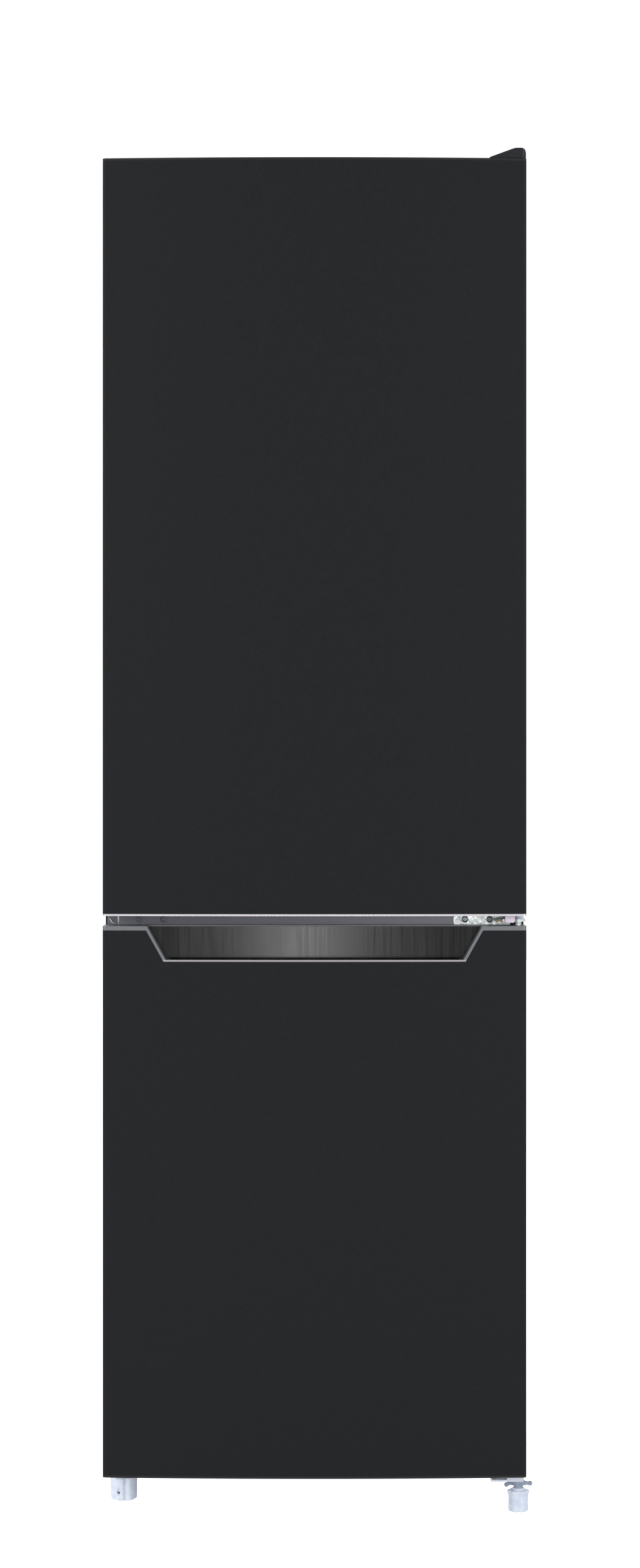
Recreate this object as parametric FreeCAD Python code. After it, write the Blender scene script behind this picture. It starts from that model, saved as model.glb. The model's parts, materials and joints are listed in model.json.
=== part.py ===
import FreeCAD, Part
import math
import os

# A free-standing slim refrigerator: tall fridge compartment above, freezer with three drawers below.
#
# Bench frame: X to the right, Y backwards from the cabinet's front face, Z up from the floor.
# save() shifts each piece along Y, so that the finished part's origin is on the floor in the
# middle of its width and depth.

Vec = FreeCAD.Vector
X, Y, Z = Vec(1, 0, 0), Vec(0, 1, 0), Vec(0, 0, 1)
ORIGIN = Vec(0, 0, 0)

# ---- Driving dimensions, in millimetres ----
# Cabinet
WIDTH = 545.0
CABINET_DEPTH = 485.0      # front face to the back panel
FLOOR_GAP = 46.0           # floor to the cabinet's underside
SHEET = 1.0                # painted steel sheet
FRONT_FLANGE = 22.0        # side and top panels, folded inwards at the front
REAR_FLANGE = 13.0         # side panels, folded inwards at the back
FOLD_RADIUS = 3.0
LINER = 1.5                # vacuum-formed liner
FRIDGE_WALL = 38.0         # outer face to the liner's outer face
FREEZER_WALL = 60.0
FRIDGE_BACK_WALL = 45.0    # inside of the compartment's back to the cabinet's back
FREEZER_BACK_WALL = 60.0
LINER_RADIUS = 16.0
LINER_BEVEL = 8.0          # edges of a compartment's back
LEDGE = 5.0                # shelf ledges moulded into the liners' sides
LEDGE_REACH = 6.0
DOOR_OVERLAP = 41.0        # door edge to compartment opening, above and below
BAY_DEPTH = 155.0          # compressor bay, from the back panel forwards
BAY_TOP = 275.0            # floor to the bay's roof
BAY_FOAM = 45.0            # insulation over and in front of the bay

# Doors
LOWER_DOOR_HEIGHT = 709.0
UPPER_DOOR_HEIGHT = 974.0
DOOR_GAP = 13.0
DOOR_LIFT = 3.0            # cabinet underside to the lower door's bottom edge
TOP_REVEAL = 2.0           # upper door's top edge to the cabinet's top
SEAL_SPACE = 13.0          # cabinet face to the doors' inner plane
DOOR_THICK = 44.0          # inner plane to the front at the door's sides
DOOR_CROWN = 8.0           # how far the middle of the front bulges
DOOR_CORNER = 4.0
SKIN_LIP = 10.0            # door skin folded behind the foam
CAP_EDGE = 3.0             # visible height of the dark end caps
CAP_SPIGOT = 9.0           # end cap rim inside the skin
CAP_WALL = 2.5
SILVER_EDGE = 2.5          # visible height of the upper door's bottom trim
DOOR_LINER = 1.5
DYKE_SIDE_CLEARANCE = 6.5  # compartment's side wall to the raised rim on the door's inner side
DYKE_END_CLEARANCE = 11.0  # compartment's floor or ceiling to the rim
DYKE_WIDTH = 26.0
FRIDGE_DYKE = 22.0         # how far the rim stands into the cabinet
FREEZER_DYKE = 10.0
DYKE_DRAFT = 3.0
DYKE_RADIUS = 12.0
SEAL_INSET = 14.0          # door side to the gasket's outer edge
SEAL_WIDTH = 20.0
SEAL_GAP = 0.3             # gasket to the cabinet's face, door closed
FIT = 0.3                  # general clearance between pieces that slip past each other

# Hinges
AXIS_INSET = 9.0           # door side to the hinge axis
AXIS_BEHIND = 27.0         # door front, at the side, to the hinge axis
PLATE = 3.0                # hinge plate thickness
PIN_R = 4.0
EAR_R = 11.5               # plate's edge around the hinge axis
BOLT_HEAD_R = 5.7
BOLT_HEAD = 3.5
RUNNING = 0.06             # radial clearance of every turning fit
PIN_REACH = 16.0           # pin length beyond its plate, inside the door
BUSH_R = 6.2
BUSH_FLANGE_R = 7.8
BUSH_FLANGE = 1.5
BOSS_R = 12.0              # moulded socket around each bush
PIVOT_BOSS_R = 7.0
PIVOT_CLEARANCE = 0.9      # recess in the door's cap around the threaded boss
PIVOT_BOSS = 8.0           # height of the threaded boss on the bottom hinge
COVER_TOP = 13.0           # top hinge cover, above the cabinet's top
COVER_WIDTH = 47.0
COVER_WALL = 2.0

# Beam between the compartments
BEAM_HEIGHT = 34.0
BEAM_SHEET = 1.5
BEAM_REACH = 20.0          # flanges back into the foam
STRIP_SHEET = 1.5
FLANGE_HALF_HEIGHT = 12.5  # cover strip and middle hinge flange
SCREW_R = 2.0
INNER_SCREW_INSET = 76.5   # cabinet side to the screws at both ends of the beam
OUTER_SCREW_INSET = 44.5
SCREW_HEAD_R = 4.4
SCREW_HEAD = 2.2
SCREW_LENGTH = 10.0
CROSS_HALF = 2.6           # cross recess in each head
CROSS_SLOT = 0.5

# Grip recess in the lower door's top edge
GRIP_TOP_INSET = 53.0      # door side to the recess, at the door's top edge
GRIP_BOTTOM_INSET = 78.5   # the same at the recess's floor
GRIP_HEIGHT = 45.5
GRIP_DEPTH = 27.0          # door front, at the side, to the brushed plate
GRIP_SIDE_TRIM = 4.0
GRIP_BOTTOM_TRIM = 2.3
SHOULDER = 5.5             # visible height of the grey shoulders
POCKET = 20.0              # finger pocket below the recess's edge
POCKET_WALL = 3.0
GRIP_SHEET = 1.2
UPPER_GROOVE = 15.0        # finger groove up into the upper door's bottom edge
GROOVE_INSET = 82.5

# Feet, lock nut and rollers
ROD_R = 5.0
RIGHT_FOOT_R = 14.2
RIGHT_FOOT_HEIGHT = 29.0
LEFT_FOOT_INSET = 21.5     # cabinet side to the rod
LEFT_FOOT_Y = 38.0
LEFT_FOOT_R = 17.5
LEFT_FOOT_HEIGHT = 25.0
FOOT_BOSS_R = 9.0
NUT_HEIGHT = 9.0
NUT_SEAT_R = 7.5           # collar under the bottom hinge that the nut locks against
NUT_HUB_R = 8.5
NUT_SPAN = 37.0
NUT_WING = 8.0
ROLLER_R = 20.0
ROLLER_WIDTH = 18.0
ROLLER_INSET = 36.5
ROLLER_EAR = 2.0           # sheet of the ears beside each roller
ROLLER_PLAY = 0.5
ROLLER_FROM_BACK = 30.0
CROSSBAR_SHEET = 2.0
CROSSBAR_LIP = 16.0
EAR_DROP = 7.0             # axle to the ears' lower edge
EAR_HALF_TOP = 18.0
EAR_HALF_FOOT = 9.0

# Machinery
CONDENSER_OFFSET = 28.0    # back panel to the condenser's plane
CONDENSER_TUBE_R = 2.4
CONDENSER_WIRE_R = 0.8
CONDENSER_RUNS = 11
CONDENSER_PITCH = 119.0
CONDENSER_TOP = 1640.0
CONDENSER_INSET = 67.5     # cabinet side to the serpentine's bends
CONDENSER_BEND = 14.0
RISER_OUTSIDE = 26.0       # serpentine's bends to the upright tube beside them
WIRE_INSET = 40.0
WIRE_OVERHANG = 12.0
WIRES_PER_SIDE = 17
SPACER_REACH = 50.0        # back panel to the wall
SPACER_INSET = 92.5
SPACER_ABOVE = 62.0        # condenser's top run to the spacers
SPACER_SIZE = 28.0
SPACER_WALL = 3.0
BEAD_INSET = 152.5         # cabinet side to the back panel's stiffening beads
BEAD_WIDTH = 18.0
COMPRESSOR_X = 70.0
COMPRESSOR_HALF_LENGTH = 95.0
COMPRESSOR_HALF_WIDTH = 66.0
COMPRESSOR_HEIGHT = 150.0
COMPRESSOR_LIFT = 22.0     # cabinet's underside to the shell's
COMPRESSOR_DOME = 34.0
COMPRESSOR_SEAM = 4.0      # welded flange around the shell
DRIER_ABOVE_BAY = 60.0
DRIER_LENGTH = 95.0
MOUNT_HALF_LENGTH = 82.0   # compressor's rubber mounts, from its middle
MOUNT_HALF_WIDTH = 50.0
MOUNT_R = 9.5
MOUNT_HEIGHT = 10.0
FOOT_PLATE = 3.0
FOOT_PLATE_EDGE = 13.0     # mount's middle to the foot plate's edge
PAN_INSET = 7.0            # compressor's outline to the evaporation pan's
PAN_HEIGHT = 30.0
PAN_WALL = 2.5
RELAY_LIFT = 36.0          # shell's underside to the terminal box's
RELAY_HEIGHT = 40.0
RELAY_WIDTH = 52.0
RELAY_LENGTH = 44.0
GLAND_R = 7.0
GLAND_COLLAR_R = 9.5
LEAD_R = 3.8               # bore for the mains lead
LINE_HEIGHT = 105.0        # shell's underside to the suction line
SUCTION_R = 3.2
SUCTION_SIDE = 12.0
SUCTION_OUT = 50.0         # shell's end to the upright stretch
PROCESS_R = 3.0
PROCESS_SIDE = 24.0
PROCESS_OUT = 26.0
PROCESS_RISE = 46.0
CAPILLARY_R = 1.3
CAPILLARY_DIP = 60.0
CAPILLARY_IN = 60.0
EVAPORATOR_SHEET = 1.6
EVAPORATOR_INSET = 40.0
EVAPORATOR_ABOVE = 330.0   # compartment's floor to the plate
EVAPORATOR_BELOW = 60.0    # plate to the compartment's ceiling

# Inside
GLASS = 4.0
SHELF_HEIGHTS = (1480.0, 1290.0, 1115.0)
CRISPER_TOP = 1000.0
SHELF_FRONT = 128.0
SHELF_CORNER = 10.0
TRIM_FRONT = 8.0           # shelf trim, before and behind the glass's front edge
TRIM_BACK = 10.0
TRIM_WALL = 3.0
TRIM_INSET = 8.0
BIN_REACH = 105.0          # door's inner plane to the bins' front
BIN_WALL = 2.0
BIN_CROWN = 10.0
BIN_CORNER = 14.0
BIN_RIM = 1.5
BIN_SLOT = 6.4             # slots in the bins' sides, over the liner's lugs
BIN_SLOT_Y = 8.0
BIN_SLOT_HEIGHT = 18.0
BIN_FLOORS = (900.0, 1160.0, 1400.0)
BIN_HEIGHT = 78.0
EGG_TRAY_HEIGHT = 22.0
EGG_CUP_R = 14.5
EGG_PITCH = 38.0
EGG_ROWS = (30.0, 66.0)    # door's inner plane to the rows' middles
EGG_TRAY_INSET = 90.0      # bin's side to the tray's
EGG_TRAY_BACK = 10.0
EGG_TRAY_FRONT = 14.0      # tray to the bin's front corners
DRAWER_WALL = 2.5
DRAWER_CORNER = 8.0
FREEZER_SHELF_STEP = 186.0
CONTROL_FRONT = 150.0      # thermostat and lamp housing
CONTROL_LENGTH = 150.0
CONTROL_Z0 = 1545.0
CONTROL_HEIGHT = 90.0
CONTROL_REACH = 34.0
KNOB_R = 17.0
SPINDLE_R = 3.0
KNOB_SETBACK = 38.0        # housing's rear end to the knob's axis

# ---- Derived places ----
HALF = WIDTH / 2
FRIDGE_DEPTH = CABINET_DEPTH - FRIDGE_BACK_WALL
FREEZER_DEPTH = CABINET_DEPTH - FREEZER_BACK_WALL
SCREW_INNER = HALF - INNER_SCREW_INSET
SCREW_OUTER = HALF - OUTER_SCREW_INSET
GRIP_TOP_HALF = HALF - GRIP_TOP_INSET
GRIP_BOTTOM_HALF = HALF - GRIP_BOTTOM_INSET
GROOVE_HALF = HALF - GROOVE_INSET
LEFT_FOOT_X = LEFT_FOOT_INSET - HALF
ROLLER_X = HALF - ROLLER_INSET
CONDENSER_HALF = HALF - CONDENSER_INSET
SPACER_X = HALF - SPACER_INSET
BEAD_X = HALF - BEAD_INSET
LOWER_Z0 = FLOOR_GAP + DOOR_LIFT
LOWER_Z1 = LOWER_Z0 + LOWER_DOOR_HEIGHT
UPPER_Z0 = LOWER_Z1 + DOOR_GAP
UPPER_Z1 = UPPER_Z0 + UPPER_DOOR_HEIGHT
CABINET_TOP = UPPER_Z1 + TOP_REVEAL
FREEZER_Z0 = LOWER_Z0 + DOOR_OVERLAP
FREEZER_Z1 = LOWER_Z1 - DOOR_OVERLAP
FRIDGE_Z0 = UPPER_Z0 + DOOR_OVERLAP
FRIDGE_Z1 = UPPER_Z1 - DOOR_OVERLAP
DOOR_BACK = -SEAL_SPACE
DOOR_EDGE = DOOR_BACK - DOOR_THICK
DOOR_NOSE = DOOR_EDGE - DOOR_CROWN
AXIS_X = HALF - AXIS_INSET
AXIS_Y = DOOR_EDGE + AXIS_BEHIND
FRIDGE_HALF = HALF - FRIDGE_WALL - LINER
FREEZER_HALF = HALF - FREEZER_WALL - LINER
FACE_HALF = HALF - FRONT_FLANGE
BAY_FRONT = CABINET_DEPTH - BAY_DEPTH
STEP_Z = BAY_TOP + SHEET + BAY_FOAM + LINER
STEP_Y = BAY_FRONT - SHEET - BAY_FOAM - LINER
PAN_Z = FLOOR_GAP + 12.0
BEAM_MID = (LOWER_Z1 + UPPER_Z0) / 2
MIDDLE_PLATE_Z = BEAM_MID - PLATE / 2
TOP_PLATE_Z = CABINET_TOP
BOTTOM_PLATE_Z = FLOOR_GAP - PLATE
NUT_SEAT_Z = BOTTOM_PLATE_Z - PLATE
CONDENSER_Y = CABINET_DEPTH + CONDENSER_OFFSET
WALL_Y = CABINET_DEPTH + SPACER_REACH
BEAM_BASE = BEAM_MID - BEAM_HEIGHT / 2
BEAM_TOP = BEAM_MID + BEAM_HEIGHT / 2
FREEZER_SHELF_Z = STEP_Z + LINER_RADIUS + 1 + GLASS
FREEZER_SHELVES = (FREEZER_SHELF_Z, FREEZER_SHELF_Z + FREEZER_SHELF_STEP)
GRIP_BACK = DOOR_EDGE + GRIP_DEPTH
GRIP_FLOOR = LOWER_Z1 - GRIP_HEIGHT
CONTROL_BACK = CONTROL_FRONT + CONTROL_LENGTH
CONTROL_Z1 = CONTROL_Z0 + CONTROL_HEIGHT
KNOB_Y = CONTROL_BACK - KNOB_SETBACK
CROSSBAR_Y = BAY_FRONT + 8
COMPRESSOR_Y = CROSSBAR_Y + 4 + COMPRESSOR_HALF_WIDTH
COMPRESSOR_Z0 = FLOOR_GAP + COMPRESSOR_LIFT
COMPRESSOR_END = COMPRESSOR_HALF_LENGTH - COMPRESSOR_HALF_WIDTH
RELAY_X = COMPRESSOR_X - COMPRESSOR_HALF_LENGTH + 6
RELAY_Z = COMPRESSOR_Z0 + RELAY_LIFT
RISER_X = CONDENSER_HALF + RISER_OUTSIDE
DRIER_TOP = BAY_TOP + DRIER_ABOVE_BAY
PIVOT_TOP = FLOOR_GAP + PIVOT_BOSS
FRIDGE_DYKE_HALF = FRIDGE_HALF - DYKE_SIDE_CLEARANCE
FREEZER_DYKE_HALF = FREEZER_HALF - DYKE_SIDE_CLEARANCE
BIN_HALF = FRIDGE_DYKE_HALF - DYKE_WIDTH - DYKE_DRAFT - 1
SHIFT = Vec(0, -(DOOR_NOSE + WALL_Y) / 2, 0)


# ---- Helpers ----
def save(node, *solids):
    """Write one node; several solids make a group of separate solids."""
    shape = solids[0] if len(solids) == 1 else Part.makeCompound(list(solids))
    shape = shape.copy()
    shape.translate(SHIFT)
    shape.exportStep(f"parts/{node}.step")
    print(f"{node}: {len(shape.Solids)} solid(s), {shape.Volume / 1000:.1f} cm3")


def block(x0, x1, y0, y1, z0, z1):
    return Part.makeBox(x1 - x0, y1 - y0, z1 - z0, Vec(x0, y0, z0))


def wide(half, y0, y1, z0, z1):
    return block(-half, half, y0, y1, z0, z1)


def rod(radius, start, direction, length):
    return Part.makeCylinder(radius, length, start, direction)


def many_sided(radius, start, direction, length, sides=6):
    """Rod with a regular outline instead of a round one, for what is thin or repeats often."""
    return Part.Face(regular_outline(radius, start, direction, sides)).extrude(direction * length)


def regular_outline(radius, centre, direction, sides):
    ring = Part.Circle(centre, direction, radius).toShape().discretize(Number=sides + 1)
    return Part.makePolygon(ring[:-1] + ring[:1])


def fuse(shapes):
    first, *rest = shapes
    return first.fuse(rest).removeSplitter() if rest else first


def mirrored(shape):
    return shape.mirror(ORIGIN, X)


def both_sides(shape):
    return [shape, mirrored(shape)]


def runs_along(edge, axis):
    if len(edge.Vertexes) != 2 or not isinstance(edge.Curve, (Part.Line, Part.LineSegment)):
        return False
    step = edge.Vertexes[1].Point - edge.Vertexes[0].Point
    return abs(abs(step.dot(axis)) - step.Length) < 1e-6


def rounded(shape, radius, chosen):
    return shape.makeFillet(radius, [edge for edge in shape.Edges if chosen(edge)])


def upright(edge):
    return runs_along(edge, Z)


def prism_along_y(points, y0, y1):
    """Solid with an outline of (x, z) points, from y0 to y1."""
    outline = Part.makePolygon([Vec(x, y0, z) for x, z in points + points[:1]])
    return Part.Face(outline).extrude(Vec(0, y1 - y0, 0))


def prism_along_x(points, x0, x1):
    """Solid with an outline of (y, z) points, from x0 to x1."""
    outline = Part.makePolygon([Vec(x0, y, z) for y, z in points + points[:1]])
    return Part.Face(outline).extrude(Vec(x1 - x0, 0, 0))


def prism_along_z(points, z0, z1):
    """Solid with an outline of (x, y) points, from z0 to z1."""
    outline = Part.makePolygon([Vec(x, y, z0) for x, y in points + points[:1]])
    return Part.Face(outline).extrude(Vec(0, 0, z1 - z0))


def turned(points, x, y):
    """Solid of revolution about the upright line through (x, y), from (radius, z) points."""
    outline = Part.makePolygon([Vec(x + r, y, z) for r, z in points + points[:1]])
    return Part.Face(outline).revolve(Vec(x, y, 0), Z, 360)


def bowed(half, flat_y, edge_y, middle_y, z0, z1, corner=0.0, steps=3):
    """Slab with three flat sides and a bowed one, whose two corners are turned in a few steps."""
    corner = max(corner, 0.0)
    way = math.copysign(1.0, middle_y - edge_y)
    sag = abs(middle_y - edge_y)
    bow_r = (half ** 2 + sag ** 2) / (2 * sag)
    turn_x = half - corner
    rise = math.sqrt((bow_r - corner) ** 2 - turn_x ** 2)     # bow's centre to the corners' centres
    turn_y = middle_y + way * (rise - bow_r)
    last = math.atan2(rise, turn_x)
    angles = [last * i / steps for i in range(steps + 1)] if corner else [0.0]
    right = [(half, flat_y)]
    right += [(turn_x + corner * math.cos(a), turn_y + way * corner * math.sin(a)) for a in angles]
    points = [Vec(-x, y, z0) for x, y in right[::-1]] + [Vec(x, y, z0) for x, y in right]
    sides = [Part.makeLine(a, b) for a, b in zip(points, points[1:])]
    bow = Part.Arc(points[-1], Vec(0, middle_y, z0), points[0]).toShape()
    return Part.Face(Part.Wire(sides + [bow])).extrude(Vec(0, 0, z1 - z0))


def door_slab(z0, z1, inset=0.0, back=DOOR_BACK):
    """The doors' plan outline, optionally set in from the sides and the front."""
    return bowed(HALF - inset, back, DOOR_EDGE + inset, DOOR_NOSE + inset, z0, z1, DOOR_CORNER - inset)


def frame_on_xz(half, z0, z1, width, y0, y1):
    """Flat rectangular frame around a compartment, width measured inwards."""
    hole = wide(half - width, y0 - 1, y1 + 1, z0 + width, z1 - width)
    return wide(half, y0, y1, z0, z1).cut(hole)


def stacked(rings):
    """Solid between similar rings of points, one above the other."""
    faces = [Part.Face(Part.makePolygon(ring + ring[:1])) for ring in (rings[0], rings[-1])]
    for low, high in zip(rings, rings[1:]):
        for a, b, c, d in zip(low, low[1:] + low[:1], high[1:] + high[:1], high):
            faces.append(Part.Face(Part.makePolygon([a, b, c, d, a])))
    return Part.makeSolid(Part.makeShell(faces))


def stepped_ring(half, z0, z1, radius, y, steps=3):
    """Points of an upright rectangle at y, each corner turned in a few straight steps."""
    points = []
    for corner, (sx, sz) in enumerate(((1, 1), (-1, 1), (-1, -1), (1, -1))):
        x, z = sx * (half - radius), (z1 - radius if sz > 0 else z0 + radius)
        for step in range(steps + 1):
            angle = (corner + step / steps) * math.pi / 2
            points.append(Vec(x + radius * math.cos(angle), y, z + radius * math.sin(angle)))
    return points


def frustum(half, z0, z1, radius, y0, y1, draft):
    """Block with softened corners whose sides lean in by draft from y0 to y1."""
    near = stepped_ring(half, z0, z1, radius, y0)
    far = stepped_ring(half - draft, z0 + draft, z1 - draft, radius, y1)
    return stacked([near, far])


def tube(points, radius, bend, chords=3):
    """Six-sided tube along straight runs, each corner turned in a few chords of one arc."""
    path = points[:1]
    for before, corner, after in zip(points, points[1:], points[2:]):
        into = (corner - before).normalize()
        out = (after - corner).normalize()
        half_turn = into.getAngle(out) / 2
        setback = bend * math.tan(half_turn)
        inner = (out - into).normalize() * (bend / math.cos(half_turn) - bend)
        arc = Part.Arc(corner - into * setback, corner + inner, corner + out * setback).toShape()
        path += arc.discretize(Number=chords + 1)
    section = regular_outline(radius, points[0], points[1] - points[0], 6)
    square_corners = 1
    return Part.makePolygon(path + points[-1:]).makePipeShell([section], True, False, square_corners)


# ---- Cabinet shell ----
def side_panel():
    """Right side panel: one sheet with folded front and rear flanges."""
    sheet = block(HALF - SHEET, HALF, 0, CABINET_DEPTH, FLOOR_GAP, CABINET_TOP)
    back = CABINET_DEPTH - SHEET
    front = block(FACE_HALF, HALF, 0, SHEET, FLOOR_GAP, CABINET_TOP - SHEET)
    rear = block(HALF - REAR_FLANGE, HALF, back, CABINET_DEPTH, FLOOR_GAP, CABINET_TOP - SHEET)
    panel = fuse([sheet, front, rear])
    return rounded(panel, FOLD_RADIUS, lambda e: upright(e) and e.Vertexes[0].X > HALF - 1e-6)


def top_panel():
    half = HALF - SHEET
    sheet = wide(half, 0, CABINET_DEPTH, CABINET_TOP - SHEET, CABINET_TOP)
    front = wide(FACE_HALF, 0, SHEET, CABINET_TOP - FRONT_FLANGE, CABINET_TOP)
    return fuse([sheet, front])


def back_panel():
    """Back sheet with two pressed stiffening beads, above the compressor bay."""
    half = HALF - REAR_FLANGE - FIT
    top = CABINET_TOP - SHEET
    sheet = wide(half, CABINET_DEPTH - SHEET, CABINET_DEPTH, BAY_TOP + SHEET, top)
    low, high = CONDENSER_TOP - (CONDENSER_RUNS - 1) * CONDENSER_PITCH + 40, CONDENSER_TOP - 60
    x0, x1, y = BEAD_X - BEAD_WIDTH / 2, BEAD_X + BEAD_WIDTH / 2, CABINET_DEPTH
    outline = [(x0, y - SHEET), (x0, y), (x0 + 3, y + 3), (x1 - 3, y + 3), (x1, y), (x1, y - SHEET)]
    bead = prism_along_z(outline, low, high)
    return fuse([sheet] + both_sides(bead))


def bottom_pan():
    """Folded sheet: floor under the foam, then the bay's front wall and its roof."""
    half = HALF - SHEET
    back = CABINET_DEPTH - SHEET
    outline = [
        (SHEET, PAN_Z), (BAY_FRONT, PAN_Z), (BAY_FRONT, BAY_TOP), (back, BAY_TOP),
        (back, BAY_TOP + SHEET), (BAY_FRONT - SHEET, BAY_TOP + SHEET),
        (BAY_FRONT - SHEET, PAN_Z + SHEET), (SHEET, PAN_Z + SHEET),
    ]
    return prism_along_x(outline, -half, half)


def base_crossmember():
    """Front channel that carries the bottom hinge and the left foot's threaded boss."""
    half = HALF - SHEET
    wall = 2.0
    depth = 62.0
    outer = wide(half, SHEET, depth, FLOOR_GAP, PAN_Z)
    inner = wide(half + 1, SHEET + wall, depth - wall, FLOOR_GAP + wall, PAN_Z + 1)
    boss = rod(FOOT_BOSS_R, Vec(LEFT_FOOT_X, LEFT_FOOT_Y, FLOOR_GAP), Z, PAN_Z - FLOOR_GAP)
    hole = rod(ROD_R + RUNNING, Vec(LEFT_FOOT_X, LEFT_FOOT_Y, FLOOR_GAP - 1), Z, PAN_Z - FLOOR_GAP + 2)
    return fuse([outer.cut(inner), boss]).cut(hole)


def rear_crossbar():
    """Compressor rail with a pair of ears for each roller."""
    half = HALF - SHEET
    rail_front = CROSSBAR_Y
    wall, rear = CROSSBAR_SHEET, CABINET_DEPTH - SHEET
    plate = wide(half, rail_front, rear, FLOOR_GAP, FLOOR_GAP + wall)
    front_lip = wide(half, rail_front, rail_front + wall, FLOOR_GAP, FLOOR_GAP + CROSSBAR_LIP)
    rear_lip = wide(half, rear - wall, rear, FLOOR_GAP, FLOOR_GAP + CROSSBAR_LIP)
    y = CABINET_DEPTH - ROLLER_FROM_BACK
    pieces = [plate, front_lip, rear_lip]
    ear_x = ROLLER_WIDTH / 2 + ROLLER_PLAY
    for centre in (-ROLLER_X, ROLLER_X):
        for inner, outer in ((ear_x, ear_x + ROLLER_EAR), (-ear_x - ROLLER_EAR, -ear_x)):
            low, top, foot = ROLLER_R - EAR_DROP, EAR_HALF_TOP, EAR_HALF_FOOT
            outline = [(y - top, FLOOR_GAP), (y - foot, low), (y + foot, low), (y + top, FLOOR_GAP)]
            pieces.append(prism_along_x(outline, centre + inner, centre + outer))
    bar = fuse(pieces)
    axle_hole = many_sided(PIN_R + FIT, Vec(-HALF, y, ROLLER_R), X, WIDTH, 12)
    return bar.cut(axle_hole)


def roller():
    """Plain nylon wheel with a bore for its axle."""
    y = CABINET_DEPTH - ROLLER_FROM_BACK
    start = Vec(ROLLER_X - ROLLER_WIDTH / 2, y, ROLLER_R)
    wheel = rod(ROLLER_R, start, X, ROLLER_WIDTH)
    return wheel.cut(rod(PIN_R + RUNNING, start - X, X, ROLLER_WIDTH + 2))


def roller_axle():
    """Pin through both ears, headed at its outer end."""
    reach = ROLLER_WIDTH / 2 + ROLLER_PLAY + ROLLER_EAR
    y = CABINET_DEPTH - ROLLER_FROM_BACK
    pin = rod(PIN_R, Vec(ROLLER_X - reach - 1, y, ROLLER_R), X, 2 * reach + 1)
    head = many_sided(PIN_R + 2.5, Vec(ROLLER_X + reach, y, ROLLER_R), X, 2)
    return fuse([pin, head])


# ---- Compartments ----
def compartment(half, z0, z1, back, grow):
    """Square-edged space that a compartment's liner takes: the inner space grown on every side."""
    return wide(half + grow, 0, back + grow, z0 - grow, z1 + grow)


def softened(half, z0, z1, back):
    """A compartment's inner space, softened along its depth and bevelled around its back."""
    bevel = LINER_BEVEL
    front, rear = [stepped_ring(half, z0, z1, LINER_RADIUS, y) for y in (0, back - bevel)]
    end = stepped_ring(half - bevel, z0 + bevel, z1 - bevel, LINER_RADIUS - bevel, back)
    return stacked([front, rear, end])


def fridge_space():
    return softened(FRIDGE_HALF, FRIDGE_Z0, FRIDGE_Z1, FRIDGE_DEPTH)


def freezer_space():
    """Freezer space: the part above the compressor bay is deeper than the part in front of it."""
    upper = softened(FREEZER_HALF, STEP_Z, FREEZER_Z1, FREEZER_DEPTH)
    lower = softened(FREEZER_HALF, FREEZER_Z0, STEP_Z + 2 * LINER_RADIUS + 2, STEP_Y)
    return fuse([upper, lower])


def freezer_outside():
    upper = compartment(FREEZER_HALF, STEP_Z, FREEZER_Z1, FREEZER_DEPTH, LINER)
    lower = compartment(FREEZER_HALF, FREEZER_Z0, STEP_Z + LINER_RADIUS, STEP_Y, LINER)
    return fuse([upper, lower])


def fridge_outside():
    return compartment(FRIDGE_HALF, FRIDGE_Z0, FRIDGE_Z1, FRIDGE_DEPTH, LINER)


def shelf_ribs(half, levels, y0, y1):
    """Ledges moulded into both side walls; each level is a ledge's top."""
    inner, outer = half - LEDGE_REACH, half + LINER / 2
    outline = [(outer, y0), (inner + 2, y0), (inner, y0 + 2), (inner, y1 - 2), (inner + 2, y1), (outer, y1)]
    ribs = []
    for top in levels:
        ribs += both_sides(prism_along_z(outline, top - LEDGE, top))
    return ribs


def fridge_levels():
    return [z - GLASS for z in SHELF_HEIGHTS] + [CRISPER_TOP - GLASS]


def fridge_liner():
    shell = fridge_outside().cut(fridge_space())
    face = frame_face(FRIDGE_HALF, FRIDGE_Z0, FRIDGE_Z1, BEAM_TOP + FIT, CABINET_TOP - FRONT_FLANGE - FIT)
    return fuse([shell, face] + shelf_ribs(FRIDGE_HALF, fridge_levels(), 40, FRIDGE_DEPTH - 30))


def freezer_levels():
    return [FREEZER_SHELVES[0] - GLASS, FREEZER_SHELVES[1] - GLASS]


def freezer_liner():
    shell = freezer_outside().cut(freezer_space())
    face = frame_face(FREEZER_HALF, FREEZER_Z0, FREEZER_Z1, PAN_Z + SHEET + FIT, BEAM_BASE - FIT)
    ribs = shelf_ribs(FREEZER_HALF, freezer_levels(), 20, FREEZER_DEPTH - 30)
    return fuse([shell, face] + ribs)


def frame_face(half, z0, z1, face_z0, face_z1):
    """The liner's front flange, between the steel flanges."""
    flange = wide(FACE_HALF - FIT, 0, LINER, face_z0, face_z1)
    return flange.cut(wide(half, -1, LINER + 1, z0, z1))


def screw_hole(x, y, length):
    return many_sided(SCREW_R, Vec(x, y, BEAM_MID), Y, length, 12)


def middle_beam():
    """Steel channel between the compartments, open towards the foam."""
    outer = wide(FACE_HALF - FIT, 0, BEAM_REACH, BEAM_BASE, BEAM_TOP)
    inner = wide(FACE_HALF, BEAM_SHEET, BEAM_REACH + 1, BEAM_BASE + BEAM_SHEET, BEAM_TOP - BEAM_SHEET)
    beam = outer.cut(inner)
    for x in (-SCREW_OUTER, -SCREW_INNER, SCREW_INNER, SCREW_OUTER):
        beam = beam.cut(screw_hole(x, -1, BEAM_SHEET + 2))
    return beam


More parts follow.
